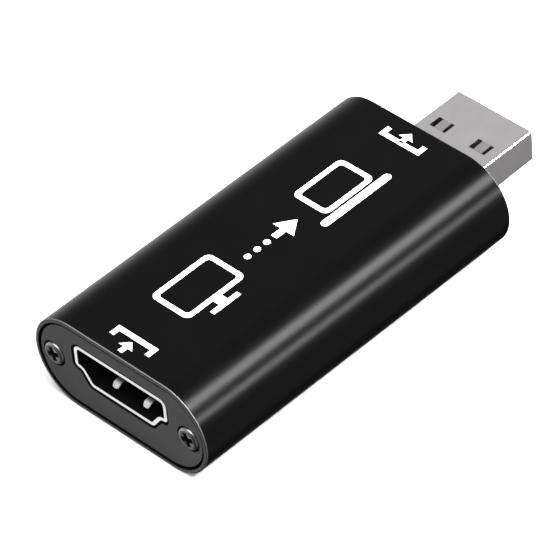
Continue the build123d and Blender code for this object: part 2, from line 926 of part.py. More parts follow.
def flow_mark():
    """A run of dots that ends in an arrow head, round its own middle."""
    dots_length = flow_dot_count * flow_dot_pitch
    arrow_length = flow_shaft_length + flow_head_length
    tail = -(dots_length + arrow_length) / 2
    marks = [Pos(tail + flow_dot / 2 + step * flow_dot_pitch, 0) * Circle(flow_dot / 2)
             for step in range(flow_dot_count)]
    marks.append(
        arrow(tail + dots_length, flow_shaft_width, flow_head_length, flow_head_width, arrow_length)
    )
    return marks


def printed_marks():
    """The white ink on the flat top: a port mark at each end and a row of pictures between them."""
    tray_in, arrow_in = port_mark(False)
    tray_out, arrow_out = port_mark(True)
    picture_x = [
        input_face + share * body_length
        for share in (screen_mark_place_share, flow_mark_place_share, laptop_mark_place_share)
    ]
    flats = [Pos(input_face + port_mark_setback, 0) * one for one in (tray_in, arrow_in)]
    flats += [Pos(output_face - port_mark_setback, 0) * one for one in (tray_out, arrow_out)]
    flats.append(Pos(picture_x[0], 0) * screen_mark())
    flats += [Pos(picture_x[1], 0) * one for one in flow_mark()]
    flats += [Pos(picture_x[2], 0) * one for one in laptop_mark()]
    return [extrude(Pos(0, 0, body_height) * flat, amount=mark_thickness) for flat in flats]


def save(name, shape):
    """Writes one node's solids to its own file."""
    pieces = shape if isinstance(shape, list) else [shape]
    solids = [solid for piece in pieces for solid in piece.solids()]
    export_step(solids[0] if len(solids) == 1 else Compound(solids), f"parts/{name}.step")


def main():
    """Builds every piece and writes it."""
    os.makedirs("parts", exist_ok=True)
    input_plate_front = input_face + plate_recess
    output_plate_front = output_face - plate_recess
    save("housing_shell", housing_shell())
    save("input_end_plate", end_plate(socket_outline(aperture_gap), input_plate_front, 1))
    save("output_end_plate", end_plate(plug_outline(aperture_gap), output_plate_front, -1))
    save("input_end_screws", end_screws(input_plate_front, 1))
    save("output_end_screws", end_screws(output_plate_front, -1))
    save("circuit_board", circuit_board())
    save("socket_shell", socket_shell())
    save("socket_insulator", socket_insulator())
    save("socket_upper_contacts", socket_contacts(True, 0))
    save("socket_lower_contacts", socket_contacts(False, 0))
    save("plug_shell", plug_shell())
    save("plug_insulator", plug_insulator())
    save("plug_contacts", plug_contacts(0))
    save("leg_solder_joints", leg_solder_joints())
    capture_body, capture_leads = capture_chip()
    save("capture_chip_body", capture_body)
    save("capture_chip_leads", capture_leads)
    memory_body, memory_leads = memory_chip()
    save("memory_chip_body", memory_body)
    save("memory_chip_leads", memory_leads)
    regulator_body, regulator_leads = voltage_regulator()
    save("regulator_body", regulator_body)
    save("regulator_leads", regulator_leads)
    crystal_base, crystal_lid = crystal()
    save("crystal_base", crystal_base)
    save("crystal_lid", crystal_lid)
    array_bodies, array_pads = protection_arrays()
    save("protection_array_bodies", array_bodies)
    save("protection_array_pads", array_pads)
    resistor_places = [(resistor_x_share, share) for share in resistor_y_shares]
    cores, caps = end_capped(resistor_places, resistor_length, resistor_width, resistor_height)
    save("chip_resistor_bodies", cores)
    save("chip_resistor_ends", caps)
    cores, caps = end_capped(
        capacitor_place_shares, capacitor_length, capacitor_width, capacitor_height
    )
    save("chip_capacitor_bodies", cores)
    save("chip_capacitor_ends", caps)
    cores, caps = end_capped(bead_place_shares, bead_length, bead_width, bead_height)
    save("ferrite_bead_bodies", cores)
    save("ferrite_bead_ends", caps)
    supply_bodies, supply_terminals = supply_capacitors()
    save("supply_capacitor_bodies", supply_bodies)
    save("supply_capacitor_terminals", supply_terminals)
    save("printed_marks", printed_marks())


main()
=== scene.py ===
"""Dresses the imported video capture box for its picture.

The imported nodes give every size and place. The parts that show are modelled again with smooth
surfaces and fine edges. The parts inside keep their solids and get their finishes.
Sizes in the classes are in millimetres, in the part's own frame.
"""

import json
import logging
import math
from collections.abc import Callable, Mapping, Sequence
from dataclasses import dataclass, field
from enum import Enum

import bmesh
import bpy
from mathutils import Matrix, Vector


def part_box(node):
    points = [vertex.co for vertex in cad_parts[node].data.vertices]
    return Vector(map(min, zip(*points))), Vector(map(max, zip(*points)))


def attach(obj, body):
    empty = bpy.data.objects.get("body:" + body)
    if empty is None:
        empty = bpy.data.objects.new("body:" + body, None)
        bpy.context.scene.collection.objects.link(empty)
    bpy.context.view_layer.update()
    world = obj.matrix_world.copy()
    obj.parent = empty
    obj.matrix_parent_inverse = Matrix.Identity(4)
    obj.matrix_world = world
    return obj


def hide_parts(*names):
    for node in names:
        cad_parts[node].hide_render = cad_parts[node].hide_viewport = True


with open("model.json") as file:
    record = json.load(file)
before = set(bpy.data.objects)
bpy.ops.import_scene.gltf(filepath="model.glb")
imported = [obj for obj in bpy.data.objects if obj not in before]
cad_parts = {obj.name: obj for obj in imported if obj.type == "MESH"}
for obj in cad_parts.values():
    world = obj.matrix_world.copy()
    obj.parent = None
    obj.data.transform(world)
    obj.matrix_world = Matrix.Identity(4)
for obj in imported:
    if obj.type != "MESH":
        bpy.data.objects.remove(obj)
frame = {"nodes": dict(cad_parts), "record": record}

LOG = logging.getLogger("capture_box")

# One millimetre in metres
MM = 0.001
# Two places nearer than this are the same one
NEAR = 0.02
# Points nearer than this become one point
MERGE = 0.0005
# How far a cutting shape stands out of what it cuts
OVERRUN = 1.0
# An edge that runs further than this along the tube is a long one
LONG = 1.0
# A face whose middle is nearer than this to the tube's axis is an end face
CENTRAL = 1.0
# A normal's share along an axis: for a face square to it, for one flush with an end, and the
# least for one that turns towards it at all
SQUARE = 0.9
FLUSH = 0.99
TURNED = 0.5
# The sides of a round bar
ROD_SIDES = 64

Colour = tuple[float, float, float]
Point = tuple[float, float, float]
Stop = tuple[float, float]


# Shader maths


class Signal:
    """A shader socket that Python's operators add maths to."""

    def __init__(self, net: "Net", socket: bpy.types.NodeSocket | None) -> None:
        """Wraps a socket of a net, or nothing for a node that only takes values."""
        self.net = net
        self.socket = socket

    def __add__(self, other: "Signal | float") -> "Signal":
        """This plus another."""
        return self.net.maths("ADD", self, other)

    def __radd__(self, other: float) -> "Signal":
        """Another plus this."""
        return self.net.maths("ADD", other, self)

    def __sub__(self, other: "Signal | float") -> "Signal":
        """This less another."""
        return self.net.maths("SUBTRACT", self, other)

    def __rsub__(self, other: float) -> "Signal":
        """Another less this."""
        return self.net.maths("SUBTRACT", other, self)

    def __mul__(self, other: "Signal | float") -> "Signal":
        """This times another."""
        return self.net.maths("MULTIPLY", self, other)

    def __rmul__(self, other: float) -> "Signal":
        """Another times this."""
        return self.net.maths("MULTIPLY", other, self)


class Net:
    """The nodes of one material, or of the surround."""

    def __init__(self, owner: bpy.types.Material | bpy.types.World) -> None:
        """Starts an empty net on its owner.

        Args:
            owner: The material or surround that the nodes belong to.
        """
        self.owner = owner
        owner.use_nodes = True
        self.tree = owner.node_tree
        self.tree.nodes.clear()

    @classmethod
    def material(cls, name: str) -> "Net":
        """A net on a new material."""
        return cls(bpy.data.materials.new(name))

    def node(
        self,
        kind: str,
        settings: Mapping[str, object] | None = None,
        sockets: Mapping[str | int, object] | None = None,
        output: str | int = 0,
    ) -> Signal:
        """Adds one node.

        Args:
            kind: The node's type name.
            settings: Its properties, and under "stops" a ramp's places and colours.
            sockets: Values or signals for its inputs, by name or number.
            output: The output that is wanted, by name or number.

        Returns:
            That output as a signal.
        """
        made = self.tree.nodes.new(kind)
        for name, value in (settings or {}).items():
            if name == "stops":
                ramp = made.color_ramp
                while len(ramp.elements) < len(value):
                    ramp.elements.new(0.5)
                for element, (place, grey) in zip(ramp.elements, value):
                    element.position = place
                    element.color = (grey, grey, grey, 1.0)
            else:
                setattr(made, name, value)
        for name, value in (sockets or {}).items():
            if isinstance(value, Signal):
                self.tree.links.new(value.socket, made.inputs[name])
            else:
                made.inputs[name].default_value = value
        return Signal(self, made.outputs[output] if made.outputs else None)

    def maths(self, operation: str, first: "Signal | float", second: "Signal | float") -> Signal:
        """Adds one Math node on two values."""
        return self.node("ShaderNodeMath", {"operation": operation}, {0: first, 1: second})

    def place(self, stretch: Point = (1.0, 1.0, 1.0)) -> Signal:
        """The point on the object, stretched along its axes."""
        point = self.node("ShaderNodeTexCoord", output="Object")
        return self.node("ShaderNodeMapping", None, {"Vector": point, "Scale": stretch})

    def noise(self, size: float, detail: float = 2.0, stretch: Point = (1.0, 1.0, 1.0)) -> Signal:
        """Noise with features of about a size.

        Args:
            size: The features' size in millimetres.
            detail: How many finer layers it has.
            stretch: How much finer the pattern is along each axis.

        Returns:
            A value from 0 to 1.
        """
        return self.node(
            "ShaderNodeTexNoise",
            None,
            {"Vector": self.place(stretch), "Scale": 1.0 / (size * MM), "Detail": detail},
        )

    def specks(self, size: float) -> Signal:
        """Distance to the nearest of many scattered points.

        Args:
            size: How far apart the points are, in millimetres.

        Returns:
            A value that is 0 on each point and grows away from it.
        """
        return self.node(
            "ShaderNodeTexVoronoi", None, {"Vector": self.place(), "Scale": 1.0 / (size * MM)}
        )

    def ramp(self, value: Signal, *stops: Stop) -> Signal:
        """A value sent through places and levels."""
        return self.node("ShaderNodeValToRGB", {"stops": stops}, {"Fac": value})

    def blend(self, factor: "Signal | float", first: object, second: object) -> Signal:
        """A colour between two colours.

        Args:
            factor: 0 for the first colour and 1 for the second.
            first: A colour, or a signal that carries one.
            second: The other.

        Returns:
            The colour as a signal.
        """
        return self.node(
            "ShaderNodeMix",
            {"data_type": "RGBA"},
            {0: factor, 6: opaque(first), 7: opaque(second)},
            2,
        )

    def bump(self, height: Signal, strength: float, depth: float) -> Signal:
        """A normal that follows a height.

        Args:
            height: The height.
            strength: How much of it shows, from 0 to 1.
            depth: What a height of 1 stands for, in millimetres.

        Returns:
            The normal.
        """
        return self.node(
            "ShaderNodeBump",
            None,
            {"Height": height, "Strength": strength, "Distance": depth * MM},
        )

    def surface(self, sockets: Mapping[str, object]) -> bpy.types.Material:
        """Ends the net in one shader.

        Args:
            sockets: Values and signals for the shader, by socket.

        Returns:
            The finished material.
        """
        shader = self.node("ShaderNodeBsdfPrincipled", None, sockets)
        self.node("ShaderNodeOutputMaterial", None, {"Surface": shader})
        return self.owner


def opaque(colour: object) -> object:
    """A colour with full alpha, or a signal as it is."""
    return colour if isinstance(colour, Signal) else (*colour, 1.0)


def shade(colour: Colour, factor: float) -> Colour:
    """A colour made darker or lighter."""
    return tuple(min(1.0, part * factor) for part in colour)


# Finishes


@dataclass(frozen=True)
class Anodised:
    """Blasted and anodised aluminium: a fine even grain, and die lines along an extrusion."""

    name: str
    colour: Colour
    roughness: float
    grain: float = 0.09
    grain_depth: float = 0.006
    die_lines: float = 0.0
    level: float = 0.5
    cloud: float = 6.0
    die_line: float = 0.16
    die_stretch: Point = (0.012, 1.0, 1.0)
    speck: float = 0.2
    speck_edge: tuple[float, float] = (0.62, 0.74)
    dark: float = 0.82
    light: float = 1.2
    bright: float = 2.0

    def build(self) -> bpy.types.Material:
        """Makes the material.

        Returns:
            The finished material.
        """
        net = Net.material(self.name)
        grain = net.noise(self.grain, 3.0)
        cloud = net.noise(self.cloud, 2.0)
        lines = net.noise(self.die_line, 2.0, self.die_stretch)
        tone = net.blend(cloud, shade(self.colour, self.dark), shade(self.colour, self.light))
        low, high = self.speck_edge
        speck = net.ramp(net.noise(self.speck, 1.0), (low, 0.0), (high, 1.0))
        tone = net.blend(speck * 0.25, tone, shade(self.colour, self.bright))
        rough = self.roughness - 0.05 + grain * 0.08 + cloud * 0.04
        height = grain * (1.0 - self.die_lines) + lines * self.die_lines
        return net.surface(
            {
                "Base Color": tone,
                "Roughness": rough,
                "Specular IOR Level": self.level,
                "Normal": net.bump(height, 0.55, self.grain_depth),
            }
        )


@dataclass(frozen=True)
class Metal:
    """Bare or plated metal with rolling marks, faint stains and fine scratches."""

    name: str
    colour: Colour
    roughness: float
    brushed: Point = (1.0, 1.0, 1.0)
    mark: float = 0.12
    stain: float = 0.25
    depth: float = 0.004
    cloud: float = 2.4
    blot: float = 0.9
    blot_edge: tuple[float, float] = (0.5, 0.72)
    dark: float = 0.9
    light: float = 1.06
    stained: float = 0.72

    def build(self) -> bpy.types.Material:
        """Makes the material.

        Returns:
            The finished material.
        """
        net = Net.material(self.name)
        marks = net.noise(self.mark, 3.0, self.brushed)
        cloud = net.noise(self.cloud, 3.0)
        low, high = self.blot_edge
        dull = net.ramp(net.noise(self.blot, 4.0), (low, 0.0), (high, 1.0))
        tone = net.blend(cloud, shade(self.colour, self.dark), shade(self.colour, self.light))
        tone = net.blend(dull * self.stain, tone, shade(self.colour, self.stained))
        rough = self.roughness + marks * 0.1 - 0.05 + dull * 0.08
        return net.surface(
            {
                "Base Color": tone,
                "Roughness": rough,
                "Metallic": 1.0,
                "Normal": net.bump(marks, 0.4, self.depth),
            }
        )


@dataclass(frozen=True)
class TipPlating:
    """Contacts with gold only at the ends that mate, and behind them plated metal darkened to
    near-black as painted shade.
    """

    name: str
    gold: Colour
    nickel: Colour
    roughness: float
    gold_from: float = 28.9
    ragged: float = 0.2
    ragged_size: float = 0.3
    sharpness: float = 8.0
    mark: float = 0.1
    brushed: Point = (0.2, 1.0, 1.0)
    cloud: float = 0.8
    dark: float = 0.88
    light: float = 1.08

    def build(self) -> bpy.types.Material:
        """Makes the material.

        Returns:
            The finished material.
        """
        net = Net.material(self.name)
        along = net.node("ShaderNodeSeparateXYZ", None, {0: net.place()}, 0)
        distance = net.node("ShaderNodeMath", {"operation": "ABSOLUTE"}, {0: along})
        ragged = net.noise(self.ragged_size, 2.0) * (self.ragged * MM)
        edge = (distance + ragged - self.gold_from * MM) * (self.sharpness / MM)
        # tip is 1 on the gold ends and 0 behind them, where the near-black painted shade goes
        tip = net.ramp(edge, (0.0, 0.0), (1.0, 1.0))
        marks = net.noise(self.mark, 2.0, self.brushed)
        cloud = net.noise(self.cloud, 3.0)
        bright = net.blend(cloud, shade(self.gold, self.dark), shade(self.gold, self.light))
        return net.surface(
            {
                "Base Color": net.blend(tip, self.nickel, bright),
                "Roughness": self.roughness + marks * 0.1 + (1.0 - tip) * 0.12,
                "Metallic": 1.0,
                "Normal": net.bump(marks, 0.4, 0.003),
            }
        )


@dataclass(frozen=True)
class Moulding:
    """Moulded plastic or resin: a fine spark-eroded grain and slow changes of tone."""

    name: str
    colour: Colour
    roughness: float
    grain: float = 0.06
    depth: float = 0.006
    fibres: bool = False
    cloud: float = 1.6
    thread: float = 0.05
    thread_edge: tuple[float, float] = (0.6, 0.75)
    dark: float = 0.85
    light: float = 1.15
    glassy: float = 3.0

    def build(self) -> bpy.types.Material:
        """Makes the material.

        Returns:
            The finished material.
        """
        net = Net.material(self.name)
        grain = net.noise(self.grain, 2.0)
        cloud = net.noise(self.cloud, 2.0)
        tone = net.blend(cloud, shade(self.colour, self.dark), shade(self.colour, self.light))
        if self.fibres:
            low, high = self.thread_edge
            strands = net.noise(self.thread, 1.0, (0.2, 1.0, 1.0))
            threads = net.ramp(strands, (low, 0.0), (high, 1.0))
            tone = net.blend(threads * 0.2, tone, shade(self.colour, self.glassy))
        rough = self.roughness - 0.06 + grain * 0.12
        return net.surface(
            {"Base Color": tone, "Roughness": rough, "Normal": net.bump(grain, 0.5, self.depth)}
        )


@dataclass(frozen=True)
class Ceramic:
    """Fired ceramic: pale and dark crystals under a thin glaze."""

    name: str
    colour: Colour
    roughness: float = 0.45
    crystal: float = 0.05
    dark: float = 0.75
    light: float = 1.3

    def build(self) -> bpy.types.Material:
        """Makes the material.

        Returns:
            The finished material.
        """
        net = Net.material(self.name)
        crystals = net.specks(self.crystal)
        tone = net.blend(crystals, shade(self.colour, self.dark), shade(self.colour, self.light))
        return net.surface(
            {
                "Base Color": tone,
                "Roughness": self.roughness + crystals * 0.1,
                "Normal": net.bump(crystals, 0.3, 0.004),
            }
        )


@dataclass(frozen=True)
class BoardMask:
    """Solder mask over woven glass: the weave shows as faint squares under a gloss."""

    name: str
    colour: Colour
    weave: float = 0.45
    cloud: float = 3.0
    roughness: float = 0.24
    dark: float = 0.86
    light: float = 1.12
    clouded: float = 1.35

    def build(self) -> bpy.types.Material:
        """Makes the material.

        Returns:
            The finished material.
        """
        net = Net.material(self.name)
        cloud = net.noise(self.cloud, 2.0)
        scale = 1.0 / (self.weave * MM)
        check = net.node("ShaderNodeTexChecker", None, {"Vector": net.place(), "Scale": scale}, 1)
        tone = net.blend(check, shade(self.colour, self.dark), shade(self.colour, self.light))
        tone = net.blend(cloud * 0.3, tone, shade(self.colour, self.clouded))
        return net.surface(
            {
                "Base Color": tone,
                "Roughness": self.roughness + cloud * 0.1,
                "Normal": net.bump(check * 0.5 + cloud, 0.2, 0.01),
            }
        )


@dataclass(frozen=True)
class Ink:
    """Screen-printed ink: dense, slightly uneven, with a soft sheen."""

    name: str
    colour: Colour
    roughness: float = 0.5
    mesh: float = 0.07
    cloud: float = 1.2
    thin: float = 0.93

    def build(self) -> bpy.types.Material:
        """Makes the material.

        Returns:
            The finished material.
        """
        net = Net.material(self.name)
        mesh = net.noise(self.mesh, 2.0)
        cloud = net.noise(self.cloud, 2.0)
        tone = net.blend(cloud, shade(self.colour, self.thin), self.colour)
        return net.surface(
            {
                "Base Color": tone,
                "Roughness": self.roughness + mesh * 0.1,
                "Normal": net.bump(mesh, 0.3, 0.004),
            }
        )


class Slot(Enum):
    """The record's slots with finishes, then a machined rim, wear, painted shade and highlights.
    """

    black_anodised_aluminium = Anodised(
        "black_anodised_aluminium", (0.0014, 0.0014, 0.0016), 0.24, die_lines=0.35, level=0.085
    )
    dark_anodised_plate = Anodised(
        "dark_anodised_plate",
        (0.03, 0.03, 0.0304),
        0.55,
        grain=0.13,
        grain_depth=0.015,
        level=0.18,
    )
    blackened_steel = Metal("blackened_steel", (0.085, 0.084, 0.083), 0.24, stain=0.4)
    nickel_plated_steel = Metal(
        "nickel_plated_steel", (0.9, 0.89, 0.875), 0.22, (0.2, 1.0, 1.0), stain=0.06
    )
    stainless_sheet = Metal(
        "stainless_sheet", (1.0, 0.925, 0.945), 0.13, (0.08, 1.0, 1.0), stain=0.03, depth=0.0012
    )
    black_connector_plastic = Moulding(
        "black_connector_plastic", (0.012, 0.012, 0.013), 0.42, fibres=True
    )
    # Behind the gold tips the contacts are near-black: painted shade over the plated metal
    gold_plated_contact = TipPlating(
        "gold_plated_contact", (0.78, 0.56, 0.25), (0.1, 0.095, 0.09), 0.26
    )
    green_board = BoardMask("green_board", (0.003, 0.024, 0.01))
    chip_moulding = Moulding("chip_moulding", (0.02, 0.02, 0.021), 0.6, grain=0.08, depth=0.01)
    tinned_lead = Metal("tinned_lead", (0.66, 0.66, 0.64), 0.35, stain=0.4)
    solder = Metal("solder", (0.6, 0.61, 0.63), 0.25, stain=0.35)
    tan_ceramic = Ceramic("tan_ceramic", (0.38, 0.26, 0.15))
    grey_ceramic = Ceramic("grey_ceramic", (0.12, 0.11, 0.11))
    yellow_moulding = Moulding("yellow_moulding", (0.62, 0.36, 0.06), 0.5)
    white_ink = Ink("white_ink", (0.86, 0.86, 0.86))
    machined_rim = Anodised(
        "machined_rim", (0.022, 0.022, 0.0225), 0.45, grain=0.1, grain_depth=0.01, level=0.3
    )
    # Lighter metal on the tube's rounded end edges: wear, and also a painted highlight
    worn_edge = Metal("worn_edge", (0.21, 0.21, 0.213), 0.6, (0.2, 1.0, 1.0), stain=0.5)
    # Lighter steel on the screw heads' round edges: wear, and also a painted highlight
    rubbed_steel = Metal("rubbed_steel", (0.34, 0.34, 0.335), 0.34, stain=0.4)
    # Darker copy of the stainless sheet for the tabs and window walls: painted shade
    pressed_tab = Metal("pressed_tab", (0.66, 0.63, 0.64), 0.24, (0.08, 1.0, 1.0), stain=0.05)
    # Near-black finish for walls in recesses, gaps and pockets: painted shade
    cut_wall = Anodised("cut_wall", (0.002, 0.002, 0.0022), 0.6, level=0.1)
    # Brighter, rougher copy of the plated sheet on the springs' crests: painted highlight
    spring_crest = Metal("spring_crest", (0.99, 0.98, 0.97), 0.5, (0.3, 1.0, 1.0), stain=0.03)
    # Near-black finish for the socket shell's inner faces: painted shade inside the plated sheet
    socket_lining = Anodised("socket_lining", (0.004, 0.004, 0.0043), 0.3, level=0.2)


class Paintbox:
    """The finishes as materials, each made once."""

    def __init__(self) -> None:
        """Starts with no material made."""
        self.made: dict[Slot, bpy.types.Material] = {}

    def material(self, slot: Slot) -> bpy.types.Material:
        """The material of one slot.

        Args:
            slot: The slot.

        Returns:
            Its material, made on the first call.
        """
        if slot not in self.made:
            self.made[slot] = slot.value.build()
        return self.made[slot]

    def dress(self, piece: bpy.types.Object, *slots: Slot) -> None:
        """Gives a piece its finishes in the order of its faces' numbers.

        Args:
            piece: The piece.
            slots: Its main finish, and then those of its numbered faces.
        """
        held = piece.data.materials
        for place, slot in enumerate(slots):
            if place == len(held):
                held.append(None)
            held[place] = self.material(slot)


# Modelling


class Shape:
    """One mesh under way, shaped by edit-mode operators. Sizes are in millimetres."""

    def __init__(self, name: str) -> None:
        """Takes over the primitive that was just added.

        Args:
            name: The piece's name.
        """
        self.piece = bpy.context.active_object
        self.piece.name = name
        bpy.ops.object.transform_apply(location=True, rotation=True, scale=True)

    @classmethod
    def disc(cls, name: str, centre: Point, radius: float, sides: int) -> "Shape":
        """A filled circle that faces along X.

        Args:
            name: The piece's name.
            centre: Its middle.
            radius: Its radius.
            sides: How many sides it has.

        Returns:
            The circle, as one face.
        """
        start_clean()
        bpy.ops.mesh.primitive_circle_add(
            vertices=sides,
            radius=radius * MM,
            fill_type="NGON",
            location=metres(centre),
            rotation=(0.0, math.pi / 2, 0.0),
        )
        return cls(name)

    @classmethod
    def rod(cls, name: str, start: Point, length: float, radius: float) -> "Shape":
        """A round bar along X.

        Args:
            name: The piece's name.
            start: The middle of its first end.
            length: How far it goes along X, below zero for the other way.
            radius: Its radius.

        Returns:
            The bar, closed at both ends.
        """
        shape = cls.disc(name, start, radius, ROD_SIDES)
        shape.every()
        shape.push(x=length)
        shape.outward()
        return shape

    @classmethod
    def block(cls, name: str, corner: Point, opposite: Point) -> "Shape":
        """A box between two corners.

        Args:
            name: The piece's name.
            corner: One corner.
            opposite: The corner across the box from it.

        Returns:
            The box.
        """
        start_clean()
        centre = [(a + b) / 2 for a, b in zip(corner, opposite)]
        size = [abs(b - a) * MM for a, b in zip(corner, opposite)]
        bpy.ops.mesh.primitive_cube_add(size=1.0, location=metres(centre), scale=size)
        return cls(name)

    def edit(self) -> None:
        """Opens this mesh alone in edit mode."""
        if bpy.context.mode == "EDIT_MESH" and bpy.context.active_object is self.piece:
            return
        start_clean()
        self.piece.select_set(True)
        bpy.context.view_layer.objects.active = self.piece
        bpy.ops.object.mode_set(mode="EDIT")

    def pick(self, kind: str, test: Callable[..., bool]) -> None:
        """Selects what passes a test, and nothing else.

        Args:
            kind: "FACE", "EDGE" or "VERT".
            test: Gets a face's centre and normal, an edge's two ends, or a point.
        """
        self.edit()
        bpy.ops.mesh.select_mode(type=kind)
        bpy.ops.mesh.select_all(action="DESELECT")
        mesh = bmesh.from_edit_mesh(self.piece.data)
        mesh.normal_update()
        if kind == "FACE":
            chosen = [f for f in mesh.faces if test(f.calc_center_median() / MM, f.normal)]
        elif kind == "EDGE":
            chosen = [e for e in mesh.edges if test(e.verts[0].co / MM, e.verts[1].co / MM)]
        else:
            chosen = [v for v in mesh.verts if test(v.co / MM)]
        for element in chosen:
            element.select_set(True)
        mesh.select_flush_mode()
        bmesh.update_edit_mesh(self.piece.data)

    def number(self, place: int, test: Callable[..., bool]) -> None:
        """Gives the faces that pass a test another finish.

        Args:
            place: The finish's place in the piece's list.
            test: Gets a face's centre and normal.
        """
        while len(self.piece.data.materials) <= place:
            self.piece.data.materials.append(None)
        self.pick("FACE", test)
        self.piece.active_material_index = place
        bpy.ops.object.material_slot_assign()

    def every(self) -> None:
        """Selects the whole mesh."""
        self.edit()
        bpy.ops.mesh.select_mode(type="FACE")
        bpy.ops.mesh.select_all(action="SELECT")

    def push(self, x: float = 0.0, y: float = 0.0, z: float = 0.0) -> None:
        """Extrudes what is selected."""
        bpy.ops.mesh.extrude_region_move(TRANSFORM_OT_translate={"value": metres((x, y, z))})

    def move(self, x: float = 0.0, y: float = 0.0, z: float = 0.0) -> None:
        """Moves what is selected."""
        bpy.ops.transform.translate(value=metres((x, y, z)))

    def resize(self, factors: Point, centre: Point) -> None:
        """Scales what is selected about a point."""
        bpy.ops.transform.resize(value=factors, center_override=metres(centre))

    def turn(self, degrees: float, axis: str, centre: Point) -> None:
        """Turns what is selected about a point.

        Args:
            degrees: How far it turns.
            axis: The axis that it turns about.
            centre: The point that stays where it is.
        """
        bpy.ops.transform.rotate(
            value=math.radians(degrees), orient_axis=axis, center_override=metres(centre)
        )

    def inset(self, width: float) -> None:
        """Insets the selected faces."""
        bpy.ops.mesh.inset(thickness=width * MM, use_even_offset=True)

    def bevel(self, width: float, steps: int) -> None:
        """Rounds the selected edges.

        Args:
            width: How far the round reaches from the edge.
            steps: How many strips make it.
        """
        bpy.ops.mesh.bevel(offset=width * MM, segments=steps, affect="EDGES")

    def outward(self) -> None:
        """Turns every face outwards."""
        self.every()
        bpy.ops.mesh.normals_make_consistent(inside=False)

    def modify(self, kind: str, settings: Mapping[str, object]) -> None:
        """Adds one modifier and applies it.

        Args:
            kind: The modifier's type.
            settings: Its properties.
        """
        start_clean()
        self.piece.select_set(True)
        bpy.context.view_layer.objects.active = self.piece
        bpy.ops.object.modifier_add(type=kind)
        modifier = self.piece.modifiers[-1]
        for name, value in settings.items():
            setattr(modifier, name, value)
        bpy.ops.object.modifier_apply(modifier=modifier.name)

    def cut(self, *tools: "Shape") -> None:
        """Cuts other shapes out of this one and deletes them."""
        for tool in tools:
            self.combine(tool, "DIFFERENCE")

    def fuse(self, *others: "Shape") -> None:
        """Joins other shapes to this one as one body and deletes them."""
        for other in others:
            self.combine(other, "UNION")

    def trim(self, other: "Shape") -> None:
        """Keeps only what lies inside another shape, and deletes that."""
        self.combine(other, "INTERSECT")

    def combine(self, other: "Shape", operation: str) -> None:
        """Runs one Boolean step with another shape and deletes that."""
        self.modify("BOOLEAN", {"object": other.piece, "operation": operation, "solver": "EXACT"})
        bpy.data.objects.remove(other.piece, do_unlink=True)

    def soften(self, width: float, steps: int, degrees: float = 50.0) -> None:
        """Rounds every edge that is sharper than an angle.

        Args:
            width: How far each round reaches from its edge.
            steps: How many strips make it.
            degrees: The angle.
        """
        self.modify(
            "BEVEL",
            {
                "width": width * MM,
                "segments": steps,
                "limit_method": "ANGLE",
                "angle_limit": math.radians(degrees),
                "use_clamp_overlap": True,
            },
        )

    def copy(self, name: str) -> "Shape":
        """A second shape with a mesh of its own.

        Args:
            name: The copy's name.

        Returns:
            The copy.
        """
        start_clean()
        self.piece.select_set(True)
        bpy.context.view_layer.objects.active = self.piece
        bpy.ops.object.duplicate(linked=False)
        return Shape(name)

    def done(self, degrees: float = 40.0) -> bpy.types.Object:
        """Merges double points and shades the mesh smooth up to an angle.

        Args:
            degrees: The angle up to which neighbours shade as one surface.

        Returns:
            The finished piece.
        """
        self.every()
        bpy.ops.mesh.remove_doubles(threshold=MERGE * MM)
        start_clean()
        self.piece.select_set(True)
        bpy.context.view_layer.objects.active = self.piece
        bpy.ops.object.shade_smooth_by_angle(angle=math.radians(degrees))
        self.modify("WEIGHTED_NORMAL", {"mode": "FACE_AREA", "keep_sharp": True})
        return self.piece


def start_clean() -> None:
    """Leaves edit mode with nothing selected."""
    if bpy.context.mode != "OBJECT":
        bpy.ops.object.mode_set(mode="OBJECT")
    bpy.ops.object.select_all(action="DESELECT")


def metres(point: Sequence[float]) -> tuple[float, ...]:
    """A point in metres from one in millimetres."""
    return tuple(part * MM for part in point)


def grown(points: Sequence[tuple[float, float]], amount: float) -> list[tuple[float, float]]:
    """Moves the sides of an open chain of points outwards, with its ends on a mirror line.

    Args:
        points: The right half of an outline in Y and Z, from its top to its foot.
        amount: How far each side moves outwards.

    Returns:
        The new corners.
    """
    chain = [(0.0, points[0][1]), *points, (0.0, points[-1][1])]
    moved = []
    for before, here, after in zip(chain, chain[1:], chain[2:]):
        first = Vector((here[0] - before[0], here[1] - before[1])).normalized()
        second = Vector((after[0] - here[0], after[1] - here[1])).normalized()
        out_first = Vector((-first.y, first.x))
        out_second = Vector((-second.y, second.x))
        corner = (out_first + out_second) / (1.0 + out_first.dot(out_second))
        moved.append((here[0] + corner.x * amount, here[1] + corner.y * amount))
    return moved


def tangent(
    before: Sequence[float], here: Sequence[float], after: Sequence[float], radius: float
) -> float:
    """How far from a corner a round of a radius starts.

    Args:
        before: The corner before, in Y and Z.
        here: The corner that is rounded.
        after: The corner after.
        radius: The round's radius.

    Returns:
        The length along each side.
    """
    first = Vector((before[0] - here[0], before[1] - here[1]))
    second = Vector((after[0] - here[0], after[1] - here[1]))
    return radius * math.tan((math.pi - first.angle(second)) / 2)


# Sub-assemblies


